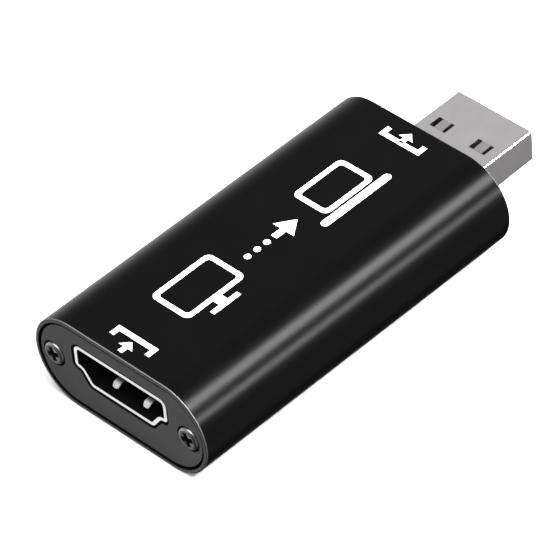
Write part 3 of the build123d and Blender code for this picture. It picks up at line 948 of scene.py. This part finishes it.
@dataclass
class Housing:
    """The extruded oval tube."""

    input_face: float = -31.9
    length: float = 51.0
    half_width: float = 14.0
    half_height: float = 6.4
    flat_half: float = 7.7
    wall: float = 1.2
    rim: float = 0.5
    pocket: float = 1.62
    edge_round: float = 0.15
    screw_place: float = 10.95
    channel_radius: float = 1.9
    bore_radius: float = 1.0
    slot_half: float = 0.4
    web_half: float = 1.1
    rib_start: float = 9.2
    rib_low: float = 2.9
    rib_high: float = 5.55
    groove_end: float = 10.05
    groove_low: float = 3.55
    groove_high: float = 4.65
    sides: int = 98
    slot_reach: float = 3.0
    skin_share: float = 0.98
    # Where the painted shade on the pocket walls starts and ends, in from each end
    cut_from: float = 0.2
    cut_to: float = 1.9

    @property
    def output_face(self) -> float:
        """The end beside the plug."""
        return self.input_face + self.length

    def oval(self, name: str, x: float, inset: float) -> Shape:
        """The tube's outline as a flat face, drawn in all round.

        Args:
            name: The piece's name.
            x: Where it stands along the tube.
            inset: How far it is drawn in.

        Returns:
            The face: a circle that is stretched and then parted in the middle.
        """
        middle = (x, 0.0, self.half_height)
        shape = Shape.disc(name, middle, 1.0, self.sides)
        half = self.half_width - self.flat_half - inset
        tall = (self.half_height - inset) / math.cos(math.pi / self.sides)
        shape.every()
        shape.resize((1.0, half, tall), middle)
        for side in (-1.0, 1.0):
            shape.pick("VERT", lambda p: p.y * side > 0.0)
            shape.move(y=side * self.flat_half)
        return shape

    def on_outline(self, point: Vector) -> bool:
        """Whether a point is on the tube's outer skin.

        Args:
            point: The point.

        Returns:
            True where it is.
        """
        across = max(abs(point.y) - self.flat_half, 0.0) / (self.half_width - self.flat_half)
        up = (point.z - self.half_height) / self.half_height
        return math.hypot(across, up) > self.skin_share

    def rail(self, side: float) -> Shape:
        """One side's screw channel, with the grooved rib under it that holds the board.

        Args:
            side: 1 for the side towards +Y and -1 for the other.

        Returns:
            A bar between the two pockets, cut to the tube's curve within its wall.
        """
        start = self.input_face + self.pocket
        end = self.output_face - self.pocket
        middle = side * self.screw_place
        level = self.half_height
        outer = side * self.half_width
        shape = Shape.rod("rail", (start, middle, level), end - start, self.channel_radius)
        rib = Shape.block(
            "rib", (start, side * self.rib_start, self.rib_low), (end, outer, self.rib_high)
        )
        web = Shape.block(
            "web", (start, middle, level - self.web_half), (end, outer, level + self.web_half)
        )
        shape.fuse(rib, web)
        before = start - OVERRUN
        after = end + OVERRUN
        through = end - start + 2.0 * OVERRUN
        bore = Shape.rod("bore", (before, middle, level), through, self.bore_radius)
        slot = Shape.block(
            "slot",
            (before, middle, level - self.slot_half),
            (after, middle - side * self.slot_reach, level + self.slot_half),
        )
        groove = Shape.block(
            "groove",
            (before, side * (self.rib_start - OVERRUN), self.groove_low),
            (after, side * self.groove_end, self.groove_high),
        )
        shape.cut(bore, slot, groove)
        skin = self.oval("skin", before, self.wall / 2)
        skin.every()
        skin.push(x=through)
        skin.outward()
        shape.trim(skin)
        return shape

    def shell(self) -> bpy.types.Object:
        """The tube with its rails, a pocket in each mouth and rounded ends, with painted shade on
        the pockets' walls.

        Returns:
            The finished tube.
        """
        shape = self.oval("housing_tube", self.input_face, 0.0)
        shape.every()
        shape.push(x=self.length)
        shape.outward()
        for face, inward in ((self.input_face, 1.0), (self.output_face, -1.0)):
            shape.pick("FACE", lambda c, n: abs(c.x - face) < NEAR and abs(n.x) > SQUARE)
            shape.inset(self.rim)
            shape.push(x=inward * self.pocket)
            shape.inset(self.wall - self.rim)
        shape.pick(
            "FACE",
            lambda c, n: abs(n.x) > SQUARE
            and abs(c.y) < CENTRAL
            and abs(c.z - self.half_height) < CENTRAL,
        )
        bpy.ops.mesh.bridge_edge_loops()
        shape.outward()
        shape.fuse(self.rail(-1.0), self.rail(1.0))
        for face in (self.input_face, self.output_face):
            shape.pick(
                "EDGE",
                lambda a, b: abs(a.x - face) < NEAR
                and abs(b.x - face) < NEAR
                and self.on_outline(a)
                and self.on_outline(b),
            )
            shape.bevel(self.edge_round, steps=4)
            shape.number(1, lambda c, n: abs(c.x - face) < NEAR / 2 and abs(n.x) > FLUSH)
            # Finish 2: wear and a painted highlight on the rounded end edges
            shape.number(2, lambda c, n: NEAR / 2 < abs(c.x - face) < self.edge_round)
            # Finish 3: painted shade on the pocket walls inside each mouth
            shape.number(
                3,
                lambda c, n: self.cut_from < abs(c.x - face) < self.cut_to
                and not self.on_outline(c),
            )
        shape.outward()
        return shape.done(degrees=30.0)


@dataclass
class VideoSocket:
    """The wide video socket's sheet metal, with its springs and legs."""

    front: float = -31.65
    length: float = 11.4
    half_width: float = 7.5
    foot_level: float = 4.6
    height: float = 5.3
    side_height: float = 3.25
    bottom_half: float = 5.05
    shoulder_run: float = 1.1
    shoulder_drop: float = 0.2
    top_round: float = 1.0
    side_round: float = 0.5
    low_round: float = 0.8
    wall: float = 0.46
    leg_places: tuple[float, float] = (3.0, 9.0)
    leg_width: float = 1.4
    leg_end: float = 3.0
    slot_start: float = 0.95
    slot_end: float = 7.0
    spring_half: float = 0.5
    spring_gap: float = 0.25
    spring_thickness: float = 0.25
    nose_round: float = 0.32
    low_place: float = 2.5
    top_place: float = 3.0
    rise: float = 0.6
    nose_place: float = 1.2
    crest_place: float = 2.1
    # Where the springs' painted highlight starts, from the mouth
    crest_start: float = 0.9
    spring_lap: float = 0.3
    spring_flat: float = 0.5
    spring_steps: int = 14
    root_curve: float = 0.9
    nose_curve: float = 0.8
    slot_half_depth: float = 0.6
    leg_top: float = 8.05
    arris: float = 0.025

    @property
    def top_level(self) -> float:
        """The height of the shell's top."""
        return self.foot_level + self.height

    def corners(self, grow: float) -> list[tuple[float, float]]:
        """The right half's corners in Y and Z, from the top down.

        Args:
            grow: How much larger than the shell the outline is.

        Returns:
            Four corners, without the middle of the top and of the foot.
        """
        side_foot = self.top_level - self.side_height
        right = [
            (self.half_width, self.top_level),
            (self.half_width, side_foot),
            (self.half_width - self.shoulder_run, side_foot - self.shoulder_drop),
            (self.bottom_half, self.foot_level),
        ]
        return grown(right, grow)

    def prism(self, name: str, start: float, end: float, grow: float) -> Shape:
        """A solid with the socket's outline.

        Args:
            name: The piece's name.
            start: Where it starts along the tube.
            end: Where it ends.
            grow: How much larger than the shell it is all round.

        Returns:
            A box whose underside is drawn down and in twice, with its long corners rounded.
        """
        corners = self.corners(grow)
        top, side, shoulder, foot = corners
        shape = Shape.block(name, (start, -top[0], side[1]), (end, top[0], top[1]))
        for above, below in ((side, shoulder), (shoulder, foot)):
            level = above[1]
            shape.pick("FACE", lambda c, n: n.z < -SQUARE and abs(c.z - level) < NEAR)
            shape.push(z=below[1] - above[1])
            shape.resize((1.0, below[0] / above[0], 1.0), ((start + end) / 2, 0.0, below[1]))
        chain = [(0.0, top[1]), *corners, (0.0, foot[1])]
        rounds = (self.top_round, self.side_round, self.low_round, self.low_round)
        for number, radius in enumerate(rounds):
            before, here, after = chain[number : number + 3]
            reach = tangent(before, here, after, radius + (grow if number != 2 else -grow))
            shape.pick(
                "EDGE",
                lambda a, b: abs(a.x - b.x) > LONG
                and abs(abs(a.y) - here[0]) < NEAR
                and abs(a.z - here[1]) < NEAR,
            )
            shape.bevel(reach, steps=6)
        shape.outward()
        return shape

    def spring(self, name: str, place: float, inner: float, inward: float) -> Shape:
        """One grounding spring: a strip that rises from its root to a crest near the mouth.

        Args:
            name: The piece's name.
            place: Its middle across the socket.
            inner: The height of the wall's inner face.
            inward: 1 for the floor's springs and -1 for the roof's.

        Returns:
            The strip.
        """
        level = inner - inward * self.spring_thickness
        root = self.front + self.slot_end + self.spring_lap
        shape = Shape.block(
            name,
            (root, place - self.spring_half, level),
            (root + self.spring_lap, place + self.spring_half, inner),
        )
        nose = self.front + self.nose_place
        crest = self.front + self.crest_place
        steps = self.spring_steps
        travel = [root - (root - nose) * number / steps for number in range(steps + 1)]

        def lift(x: float) -> float:
            """How far the strip stands in from the wall.

            Args:
                x: A place along the tube.

            Returns:
                The distance there.
            """
            if x > crest:
                share = (root - self.spring_flat - x) / (root - self.spring_flat - crest)
                wave = 0.5 - 0.5 * math.cos(math.pi * max(share, 0.0))
                return self.rise * wave**self.root_curve
            wave = math.cos(math.pi / 2 * (crest - x) / (crest - nose))
            return self.rise * wave**self.nose_curve

        for here, there in zip(travel, travel[1:]):
            shape.pick("FACE", lambda c, n: n.x < -TURNED and c.x < here + NEAR)
            shape.push(x=there - here, z=inward * (lift(there) - lift(here)))
        shape.pick("EDGE", lambda a, b: max(a.x, b.x) < nose + NEAR and abs(a.y - b.y) < NEAR)
        shape.bevel(self.nose_round, steps=4)
        return shape

    def shell(self) -> bpy.types.Object:
        """The folded sheet metal with slots, springs and legs, with painted shade on its inner
        faces and a painted highlight on its springs' crests.

        Returns:
            The finished shell.
        """
        back = self.front + self.length
        shape = self.prism("video_socket_shell", self.front, back, 0.0)
        shape.pick("FACE", lambda c, n: abs(n.x) > SQUARE)
        bpy.ops.mesh.delete(type="FACE")
        # Finish 1 goes on the inner faces that the solidify step makes: near-black painted shade
        shape.number(1, lambda c, n: False)
        shape.modify(
            "SOLIDIFY",
            {
                "thickness": self.wall * MM,
                "offset": -1.0,
                "use_even_offset": True,
                "material_offset": 1,
            },
        )
        floor = self.foot_level + self.wall
        roof = self.top_level - self.wall
        strips = []
        for wall, inward, place in ((floor, 1.0, self.low_place), (roof, -1.0, self.top_place)):
            for side in (-1.0, 1.0):
                half = self.spring_half + self.spring_gap
                middle = side * place
                shape.cut(
                    Shape.block(
                        "slot",
                        (self.front + self.slot_start, middle - half, wall - self.slot_half_depth),
                        (self.front + self.slot_end, middle + half, wall + self.slot_half_depth),
                    )
                )
                strips.append(self.spring("spring", middle, wall, inward))
        for place in self.leg_places:
            for side in (-1.0, 1.0):
                outer = side * self.half_width
                inner = side * (self.half_width - self.wall)
                middle = self.front + place
                strips.append(
                    Shape.block(
                        "leg",
                        (middle - self.leg_width / 2, inner, self.leg_end),
                        (middle + self.leg_width / 2, outer, self.leg_top),
                    )
                )
        shape.fuse(*strips)
        shape.soften(self.arris, steps=2)
        # Finish 2: a brighter copy of the plated sheet on the springs' crests, a painted highlight
        shape.number(
            2,
            lambda c, n: self.front + self.crest_start < c.x < self.front + self.slot_end
            and abs(c.y) < self.top_place + self.spring_half + NEAR
            and floor + NEAR < c.z < roof - NEAR,
        )
        return shape.done()


@dataclass
class ComputerPlug:
    """The flat computer plug's folded sheet metal."""

    back: float = 13.9
    tip: float = 31.9
    half_width: float = 6.0
    low: float = 2.43
    high: float = 6.93
    corner: float = 0.29
    wall: float = 0.3
    window_far: float = 26.9
    window_near: float = 25.05
    window_place: float = 3.2
    window_half: float = 1.25
    tab_half: float = 0.65
    tab_slot: float = 0.18
    tab_sink: float = 0.07
    tab_slope: float = 0.12
    leg_middle: float = 15.4
    leg_half: float = 0.9
    leg_knee: float = 7.2
    leg_lift: float = 5.05
    leg_end: float = 3.0
    leg_lap: float = 0.1
    tab_lap: float = 0.2
    arris: float = 0.05

    def prism(self, name: str, start: float, end: float, grow: float) -> Shape:
        """A solid with the plug's outline.

        Args:
            name: The piece's name.
            start: Where it starts along the tube.
            end: Where it ends.
            grow: How much larger than the shell it is all round.

        Returns:
            A box with its long corners rounded.
        """
        shape = Shape.block(
            name,
            (start, -self.half_width - grow, self.low - grow),
            (end, self.half_width + grow, self.high + grow),
        )
        shape.pick("EDGE", lambda a, b: abs(a.x - b.x) > LONG)
        shape.bevel(self.corner + grow, steps=7)
        shape.outward()
        return shape

    def leg(self, side: float) -> list[Shape]:
        """One leg, out from the side and then down through the board.

        Args:
            side: 1 for the side towards +Y and -1 for the other.

        Returns:
            The arm and the drop, as two blocks that lap.
        """
        half = self.wall / 2
        start = self.leg_middle - self.leg_half
        end = self.leg_middle + self.leg_half
        outer = side * (self.leg_knee + half)
        inner = side * (self.leg_knee - half)
        root = side * (self.half_width - self.wall + self.leg_lap)
        arm = Shape.block(
            "leg", (start, root, self.leg_lift - half), (end, outer, self.leg_lift + half)
        )
        drop = Shape.block("leg", (start, inner, self.leg_end), (end, outer, self.leg_lift))
        return [arm, drop]

    def tab(self, middle: float, face: float, inward: float) -> Shape:
        """One window's tab, set a little below the sheet and bent further in at its free end.

        Args:
            middle: Its middle across the plug.
            face: The height of the sheet's outer face.
            inward: 1 for the lower sheet and -1 for the upper one.

        Returns:
            The tab, rooted in the window's far edge.
        """
        sunk = face + inward * self.tab_sink
        start = self.window_near + self.tab_slot
        shape = Shape.block(
            "tab",
            (start, middle - self.tab_half, sunk),
            (self.window_far + self.tab_lap, middle + self.tab_half, sunk + inward * self.wall),
        )
        shape.pick("FACE", lambda c, n: n.x < -SQUARE)
        shape.move(z=inward * self.tab_slope)
        return shape

    def on_tab(self, centre: Vector, normal: Vector) -> bool:
        """Whether a face is on a window's tab or on a cut wall round it, where painted shade goes.

        Args:
            centre: The face's middle.
            normal: Its normal, which isn't needed.

        Returns:
            True where it is.
        """
        across = abs(abs(centre.y) - self.window_place)
        within = self.window_near - NEAR < centre.x < self.window_far + NEAR
        return within and across < self.window_half + NEAR

    def shell(self) -> bpy.types.Object:
        """The tube with its spring windows and legs; painted shade darkens the tabs and the
        windows' cut walls.

        Returns:
            The finished shell.
        """
        shape = self.prism("computer_plug_shell", self.back, self.tip, 0.0)
        shape.pick("FACE", lambda c, n: abs(n.x) > SQUARE)
        bpy.ops.mesh.delete(type="FACE")
        shape.modify(
            "SOLIDIFY", {"thickness": self.wall * MM, "offset": -1.0, "use_even_offset": True}
        )
        shape.soften(self.arris, steps=3)
        shape.fuse(*self.leg(-1.0), *self.leg(1.0))
        for side in (-1.0, 1.0):
            middle = side * self.window_place
            window = Shape.block(
                "window",
                (self.window_near, middle - self.window_half, self.low - OVERRUN),
                (self.window_far, middle + self.window_half, self.high + OVERRUN),
            )
            shape.cut(window)
            shape.fuse(self.tab(middle, self.low, 1.0), self.tab(middle, self.high, -1.0))
        # Finish 1: painted shade on the tabs and the windows' cut walls
        shape.number(1, self.on_tab)
        return shape.done()


@dataclass
class EndPlates:
    """The two plates let into the tube's mouths, and the screws that hold them."""

    housing: Housing
    socket: VideoSocket
    plug: ComputerPlug
    recess: float = 0.12
    thickness: float = 1.5
    gap: float = 0.35
    socket_gap: float = 0.35
    plug_gap: float = 0.3
    opening_out: float = 2.0
    opening_in: float = 4.0
    plate_arris: float = 0.04
    pocket_radius: float = 1.75
    pocket_depth: float = 0.55
    hole_radius: float = 1.2
    head_radius: float = 1.55
    head_height: float = 0.8
    head_round: float = 0.4
    shank_radius: float = 0.95
    shank_length: float = 6.0
    recess_half: float = 1.28
    recess_width: float = 0.78
    recess_depth: float = 0.55
    turn: float = 18.0
    head_sides: int = 48
    screw_arris: float = 0.035
    tip_length: float = 0.4
    tip_share: float = 0.58
    blade_over: float = 0.5
    blade_taper: Point = (1.0, 0.5, 0.6)
    # Normal shares that bound the head's round edge, which gets wear and a painted highlight
    rubbed_from: float = -0.93
    rubbed_to: float = -0.12
    # Where the painted shade inside the cross recess starts, from the head's top
    recess_from: float = 0.05

    def plate(self, name: str, front: float, inward: float, opening: Shape) -> bpy.types.Object:
        """One plate.

        Args:
            name: The piece's name.
            front: Where its shown face is.
            inward: 1 where the tube lies towards +X, and otherwise -1.
            opening: The shape that goes through it, which is used up.

        Returns:
            The plate with its opening, screw holes and head pockets, whose walls carry painted
            shade.
        """
        shape = self.housing.oval(name, front, self.housing.rim + self.gap)
        shape.every()
        shape.push(x=inward * self.thickness)
        shape.outward()
        shape.cut(opening)
        for side in (-1.0, 1.0):
            place = side * self.housing.screw_place
            start = (front - inward * OVERRUN, place, self.housing.half_height)
            pocket = inward * (OVERRUN + self.pocket_depth)
            hole = inward * (2.0 * OVERRUN + self.thickness)
            shape.cut(Shape.rod("pocket", start, pocket, self.pocket_radius))
            shape.cut(Shape.rod("hole", start, hole, self.hole_radius))
        shape.soften(self.plate_arris, steps=3)
        # Finish 1: painted shade on the walls of the opening, the holes and the head pockets
        shape.number(
            1,
            lambda c, n: abs(n.x) < TURNED
            and not self.housing.on_outline(c + n * (self.housing.rim + self.gap)),
        )
        return shape.done()

    def screw(self) -> Shape:
        """One screw, as the model for all four.

        Returns:
            The screw, with the middle of its head's top at the origin and its tip towards +X.
        """
        shape = Shape.disc("screw", (0.0, 0.0, 0.0), self.head_radius, self.head_sides)
        shape.every()
        shape.push(x=self.head_height)
        shape.outward()
        shape.pick("FACE", lambda c, n: n.x > SQUARE)
        shape.inset(self.head_radius - self.shank_radius)
        shape.push(x=self.shank_length - self.tip_length)
        shape.push(x=self.tip_length)
        tip = (self.head_height + self.shank_length, 0.0, 0.0)
        shape.resize((1.0, self.tip_share, self.tip_share), tip)
        shape.pick("EDGE", lambda a, b: abs(a.x) < NEAR and abs(b.x) < NEAR)
        shape.bevel(self.head_round, steps=5)
        shape.cut(*self.cross())
        shape.soften(self.screw_arris, steps=2)
        rim = self.head_radius - self.head_round
        # Finish 1: wear and a painted highlight on the head's rounded edge
        shape.number(
            1,
            lambda c, n: c.x < self.head_round
            and self.rubbed_from < n.x < self.rubbed_to
            and math.hypot(c.y, c.z) > rim,
        )
        # Finish 2: painted shade inside the cross recess
        shape.number(
            2,
            lambda c, n: self.recess_from < c.x < self.head_height
            and math.hypot(c.y, c.z) < rim,
        )
        return shape

    def cross(self) -> list[Shape]:
        """The two tapered blades that leave a cross recess.

        Returns:
            The blades, at the place of the screw's head.
        """
        blades = []
        for quarter in (0.0, 90.0):
            half = self.recess_width / 2
            blade = Shape.block(
                "blade",
                (-self.blade_over, -self.recess_half, -half),
                (self.recess_depth, self.recess_half, half),
            )
            blade.pick("FACE", lambda c, n: n.x > SQUARE)
            blade.resize(self.blade_taper, (self.recess_depth, 0.0, 0.0))
            blade.every()
            blade.turn(quarter + self.turn, "X", (0.0, 0.0, 0.0))
            blades.append(blade)
        return blades

    def screws(self, paint: Paintbox, model: Shape, end: str, front: float, inward: float) -> None:
        """Sets two copies of a screw into one plate.

        Args:
            paint: The finishes.
            model: The screw that is copied.
            end: The plate's end, as its pieces' names give it.
            front: Where the plate's shown face is.
            inward: 1 where the tube lies towards +X, and otherwise -1.
        """
        top = front + inward * (self.pocket_depth - self.head_height)
        for side, word in ((-1.0, "right"), (1.0, "left")):
            shape = model.copy(f"{end}_screw_{word}")
            shape.every()
            if inward < 0.0:
                shape.turn(180.0, "Z", (0.0, 0.0, 0.0))
            shape.move(top, side * self.housing.screw_place, self.housing.half_height)
            slots = (Slot.blackened_steel, Slot.rubbed_steel, Slot.cut_wall)
            finish_piece(paint, shape.done(), f"{end}_end_screws", *slots)

    def build(self, paint: Paintbox) -> None:
        """Makes both plates and all four screws.

        Args:
            paint: The finishes.
        """
        front = self.housing.input_face + self.recess
        start, end = front - self.opening_out, front + self.opening_in
        opening = self.socket.prism("opening", start, end, self.socket_gap)
        plate = self.plate("input_plate", front, 1.0, opening)
        finish_piece(paint, plate, "input_end_plate", Slot.dark_anodised_plate, Slot.cut_wall)
        model = self.screw()
        self.screws(paint, model, "input", front, 1.0)
        front = self.housing.output_face - self.recess
        start, end = front - self.opening_in, front + self.opening_out
        opening = self.plug.prism("opening", start, end, self.plug_gap)
        plate = self.plate("output_plate", front, -1.0, opening)
        finish_piece(paint, plate, "output_end_plate", Slot.dark_anodised_plate, Slot.cut_wall)
        self.screws(paint, model, "output", front, -1.0)
        bpy.data.objects.remove(model.piece, do_unlink=True)


def finish_piece(paint: Paintbox, piece: bpy.types.Object, node: str, *slots: Slot) -> None:
    """Dresses a new piece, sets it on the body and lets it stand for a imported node.

    Args:
        paint: The finishes.
        piece: The piece.
        node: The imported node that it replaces.
        slots: Its main finish, and then those of its numbered faces.
    """
    paint.dress(piece, *slots)
    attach(piece, "root")
    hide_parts(node)
    LOG.info("%s: %d faces, %s", piece.name, len(piece.data.polygons), slots[0].name)


def dress_nodes(paint: Paintbox) -> None:
    """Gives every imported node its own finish."""
    for part in frame["record"]["subparts"]:
        paint.dress(frame["nodes"][part["node"]], Slot[part["material_slot"]])


# Studio


@dataclass(frozen=True)
class Softbox:
    """One soft rectangular light that runs along the part and faces its middle line."""

    name: str
    place: Point
    size: tuple[float, float]
    power: float
    aim_height: float = 6.0

    def build(self) -> None:
        """Adds the light. Places and sizes are in millimetres and power in watts."""
        lamp = bpy.data.lights.new(self.name, "AREA")
        lamp.shape = "RECTANGLE"
        lamp.size, lamp.size_y = metres(self.size)
        lamp.energy = self.power
        holder = bpy.data.objects.new(self.name, lamp)
        bpy.context.scene.collection.objects.link(holder)
        place = Vector(metres(self.place))
        away = Vector((0.0, place.y, place.z - self.aim_height * MM)).normalized()
        side = Vector((1.0, 0.0, 0.0))
        upward = away.cross(side)
        turn = Matrix((side, upward, away)).transposed().to_4x4()
        holder.matrix_world = Matrix.Translation(place) @ turn


@dataclass(frozen=True)
class Studio:
    """The floor, the lights and the camera."""

    camera_place: Point = (-264.721, -285.232, 358.311)
    camera_ahead: Point = (0.49605, 0.54616, -0.67502)
    camera_roll: float = -0.0947215
    lens: float = 286.79
    sensor: float = 36.0
    clip: tuple[float, float] = (0.01, 10.0)
    floor_half: float = 900.0
    paper: tuple[float, float] = (0.86, 0.88)
    fade: tuple[Stop, Stop] = ((0.25, 1.0), (0.75, 0.0))
    far_level: float = 1.12
    near_level: float = 0.264
    under_level: float = 0.024
    upper_level: float = 0.48
    far_band: tuple[Stop, Stop] = ((0.2, 0.0), (0.62, 1.0))
    near_band: tuple[Stop, Stop] = ((0.3, 0.0), (0.55, 1.0))
    upper_band: tuple[Stop, Stop] = ((0.0, 0.25), (0.45, 1.0))
    height_band: tuple[Stop, Stop] = ((0.0, 0.0), (0.35, 1.0))
    boxes: tuple[Softbox, ...] = field(
        default=(
            Softbox("side_strip_high", (116.0, -178.0, 253.0), (332.0, 88.0), 3.6),
            Softbox("side_strip_low", (375.0, -700.0, 283.0), (330.0, 137.0), 4.65),
            Softbox("overhead", (-190.0, 0.0, 620.0), (500.0, 500.0), 6.0),
        )
    )

    def floor(self) -> None:
        """A plain pale floor that fades into the surround far from the object."""
        start_clean()
        bpy.ops.mesh.primitive_grid_add(
            x_subdivisions=4, y_subdivisions=4, size=2.0 * self.floor_half * MM
        )
        floor = bpy.context.active_object
        floor.name = "floor"
        net = Net.material("floor_paper")
        grain = net.noise(2.0, 2.0)
        dark, light = self.paper
        tone = net.blend(grain, (dark, dark, dark), (light, light, light))
        reach = net.node(
            "ShaderNodeVectorMath", {"operation": "LENGTH"}, {0: net.place()}, "Value"
        )
        fade = net.ramp(reach * (1.0 / (self.floor_half * MM)), *self.fade)
        floor.data.materials.append(
            net.surface(
                {
                    "Base Color": tone,
                    "Roughness": 0.9,
                    "Specular IOR Level": 0.1,
                    "Alpha": fade,
                }
            )
        )
        floor.visible_glossy = False

    def camera(self) -> None:
        """The camera at the photograph's place and angle."""
        ahead = Vector(self.camera_ahead).normalized()
        level = ahead.cross(Vector((0.0, 0.0, 1.0))).normalized()
        above = level.cross(ahead)
        cosine, sine = math.cos(self.camera_roll), math.sin(self.camera_roll)
        side = cosine * level + sine * above
        upward = cosine * above - sine * level
        lens = bpy.data.cameras.new("camera")
        lens.lens = self.lens
        lens.sensor_width = self.sensor
        lens.clip_start, lens.clip_end = self.clip
        holder = bpy.data.objects.new("camera", lens)
        bpy.context.scene.collection.objects.link(holder)
        turn = Matrix((side, upward, -ahead)).transposed().to_4x4()
        holder.matrix_world = Matrix.Translation(Vector(metres(self.camera_place))) @ turn
        bpy.context.scene.camera = holder

    def sky(self) -> None:
        """A pale surround: bright behind and low, weaker on the near side, dark straight down."""
        world = bpy.data.worlds.new("surround")
        net = Net(world)
        point = net.node("ShaderNodeTexCoord", output="Generated")
        across = net.node("ShaderNodeSeparateXYZ", None, {0: point}, 1)
        up = net.node("ShaderNodeSeparateXYZ", None, {0: point}, 2)
        far = net.ramp(across, *self.far_band) * self.far_level
        near = net.ramp(0.0 - across, *self.near_band) * self.near_level
        low = far + near + self.under_level
        height = net.ramp(up, *self.height_band)
        high = net.ramp(across, *self.upper_band) * self.upper_level
        level = low + (high - low) * height
        seen = net.node("ShaderNodeLightPath", output="Is Camera Ray")
        level = level + (1.0 - level) * seen
        white = (1.0, 1.0, 1.0, 1.0)
        shader = net.node("ShaderNodeBackground", None, {"Color": white, "Strength": level})
        net.node("ShaderNodeOutputWorld", None, {"Surface": shader})
        bpy.context.scene.world = world

    def build(self) -> None:
        """Sets up the whole studio."""
        self.floor()
        self.sky()
        for box in self.boxes:
            box.build()
        self.camera()
        settings = bpy.context.scene.view_settings
        settings.view_transform = "Standard"
        settings.look = "None"


def main() -> None:
    """Builds and dresses every piece, then the studio."""
    logging.basicConfig(level=logging.INFO, format="%(message)s")
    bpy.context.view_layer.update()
    Studio().build()
    paint = Paintbox()
    dress_nodes(paint)
    half_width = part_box("housing_shell")[1].y / MM
    housing = Housing(half_width=half_width)
    socket = VideoSocket()
    plug = ComputerPlug()
    tube = (Slot.black_anodised_aluminium, Slot.machined_rim, Slot.worn_edge, Slot.cut_wall)
    finish_piece(paint, housing.shell(), "housing_shell", *tube)
    sheet = (Slot.nickel_plated_steel, Slot.socket_lining, Slot.spring_crest)
    finish_piece(paint, socket.shell(), "socket_shell", *sheet)
    finish_piece(paint, plug.shell(), "plug_shell", Slot.stainless_sheet, Slot.pressed_tab)
    EndPlates(housing, socket, plug).build(paint)


if __name__ == "__main__":
    main()
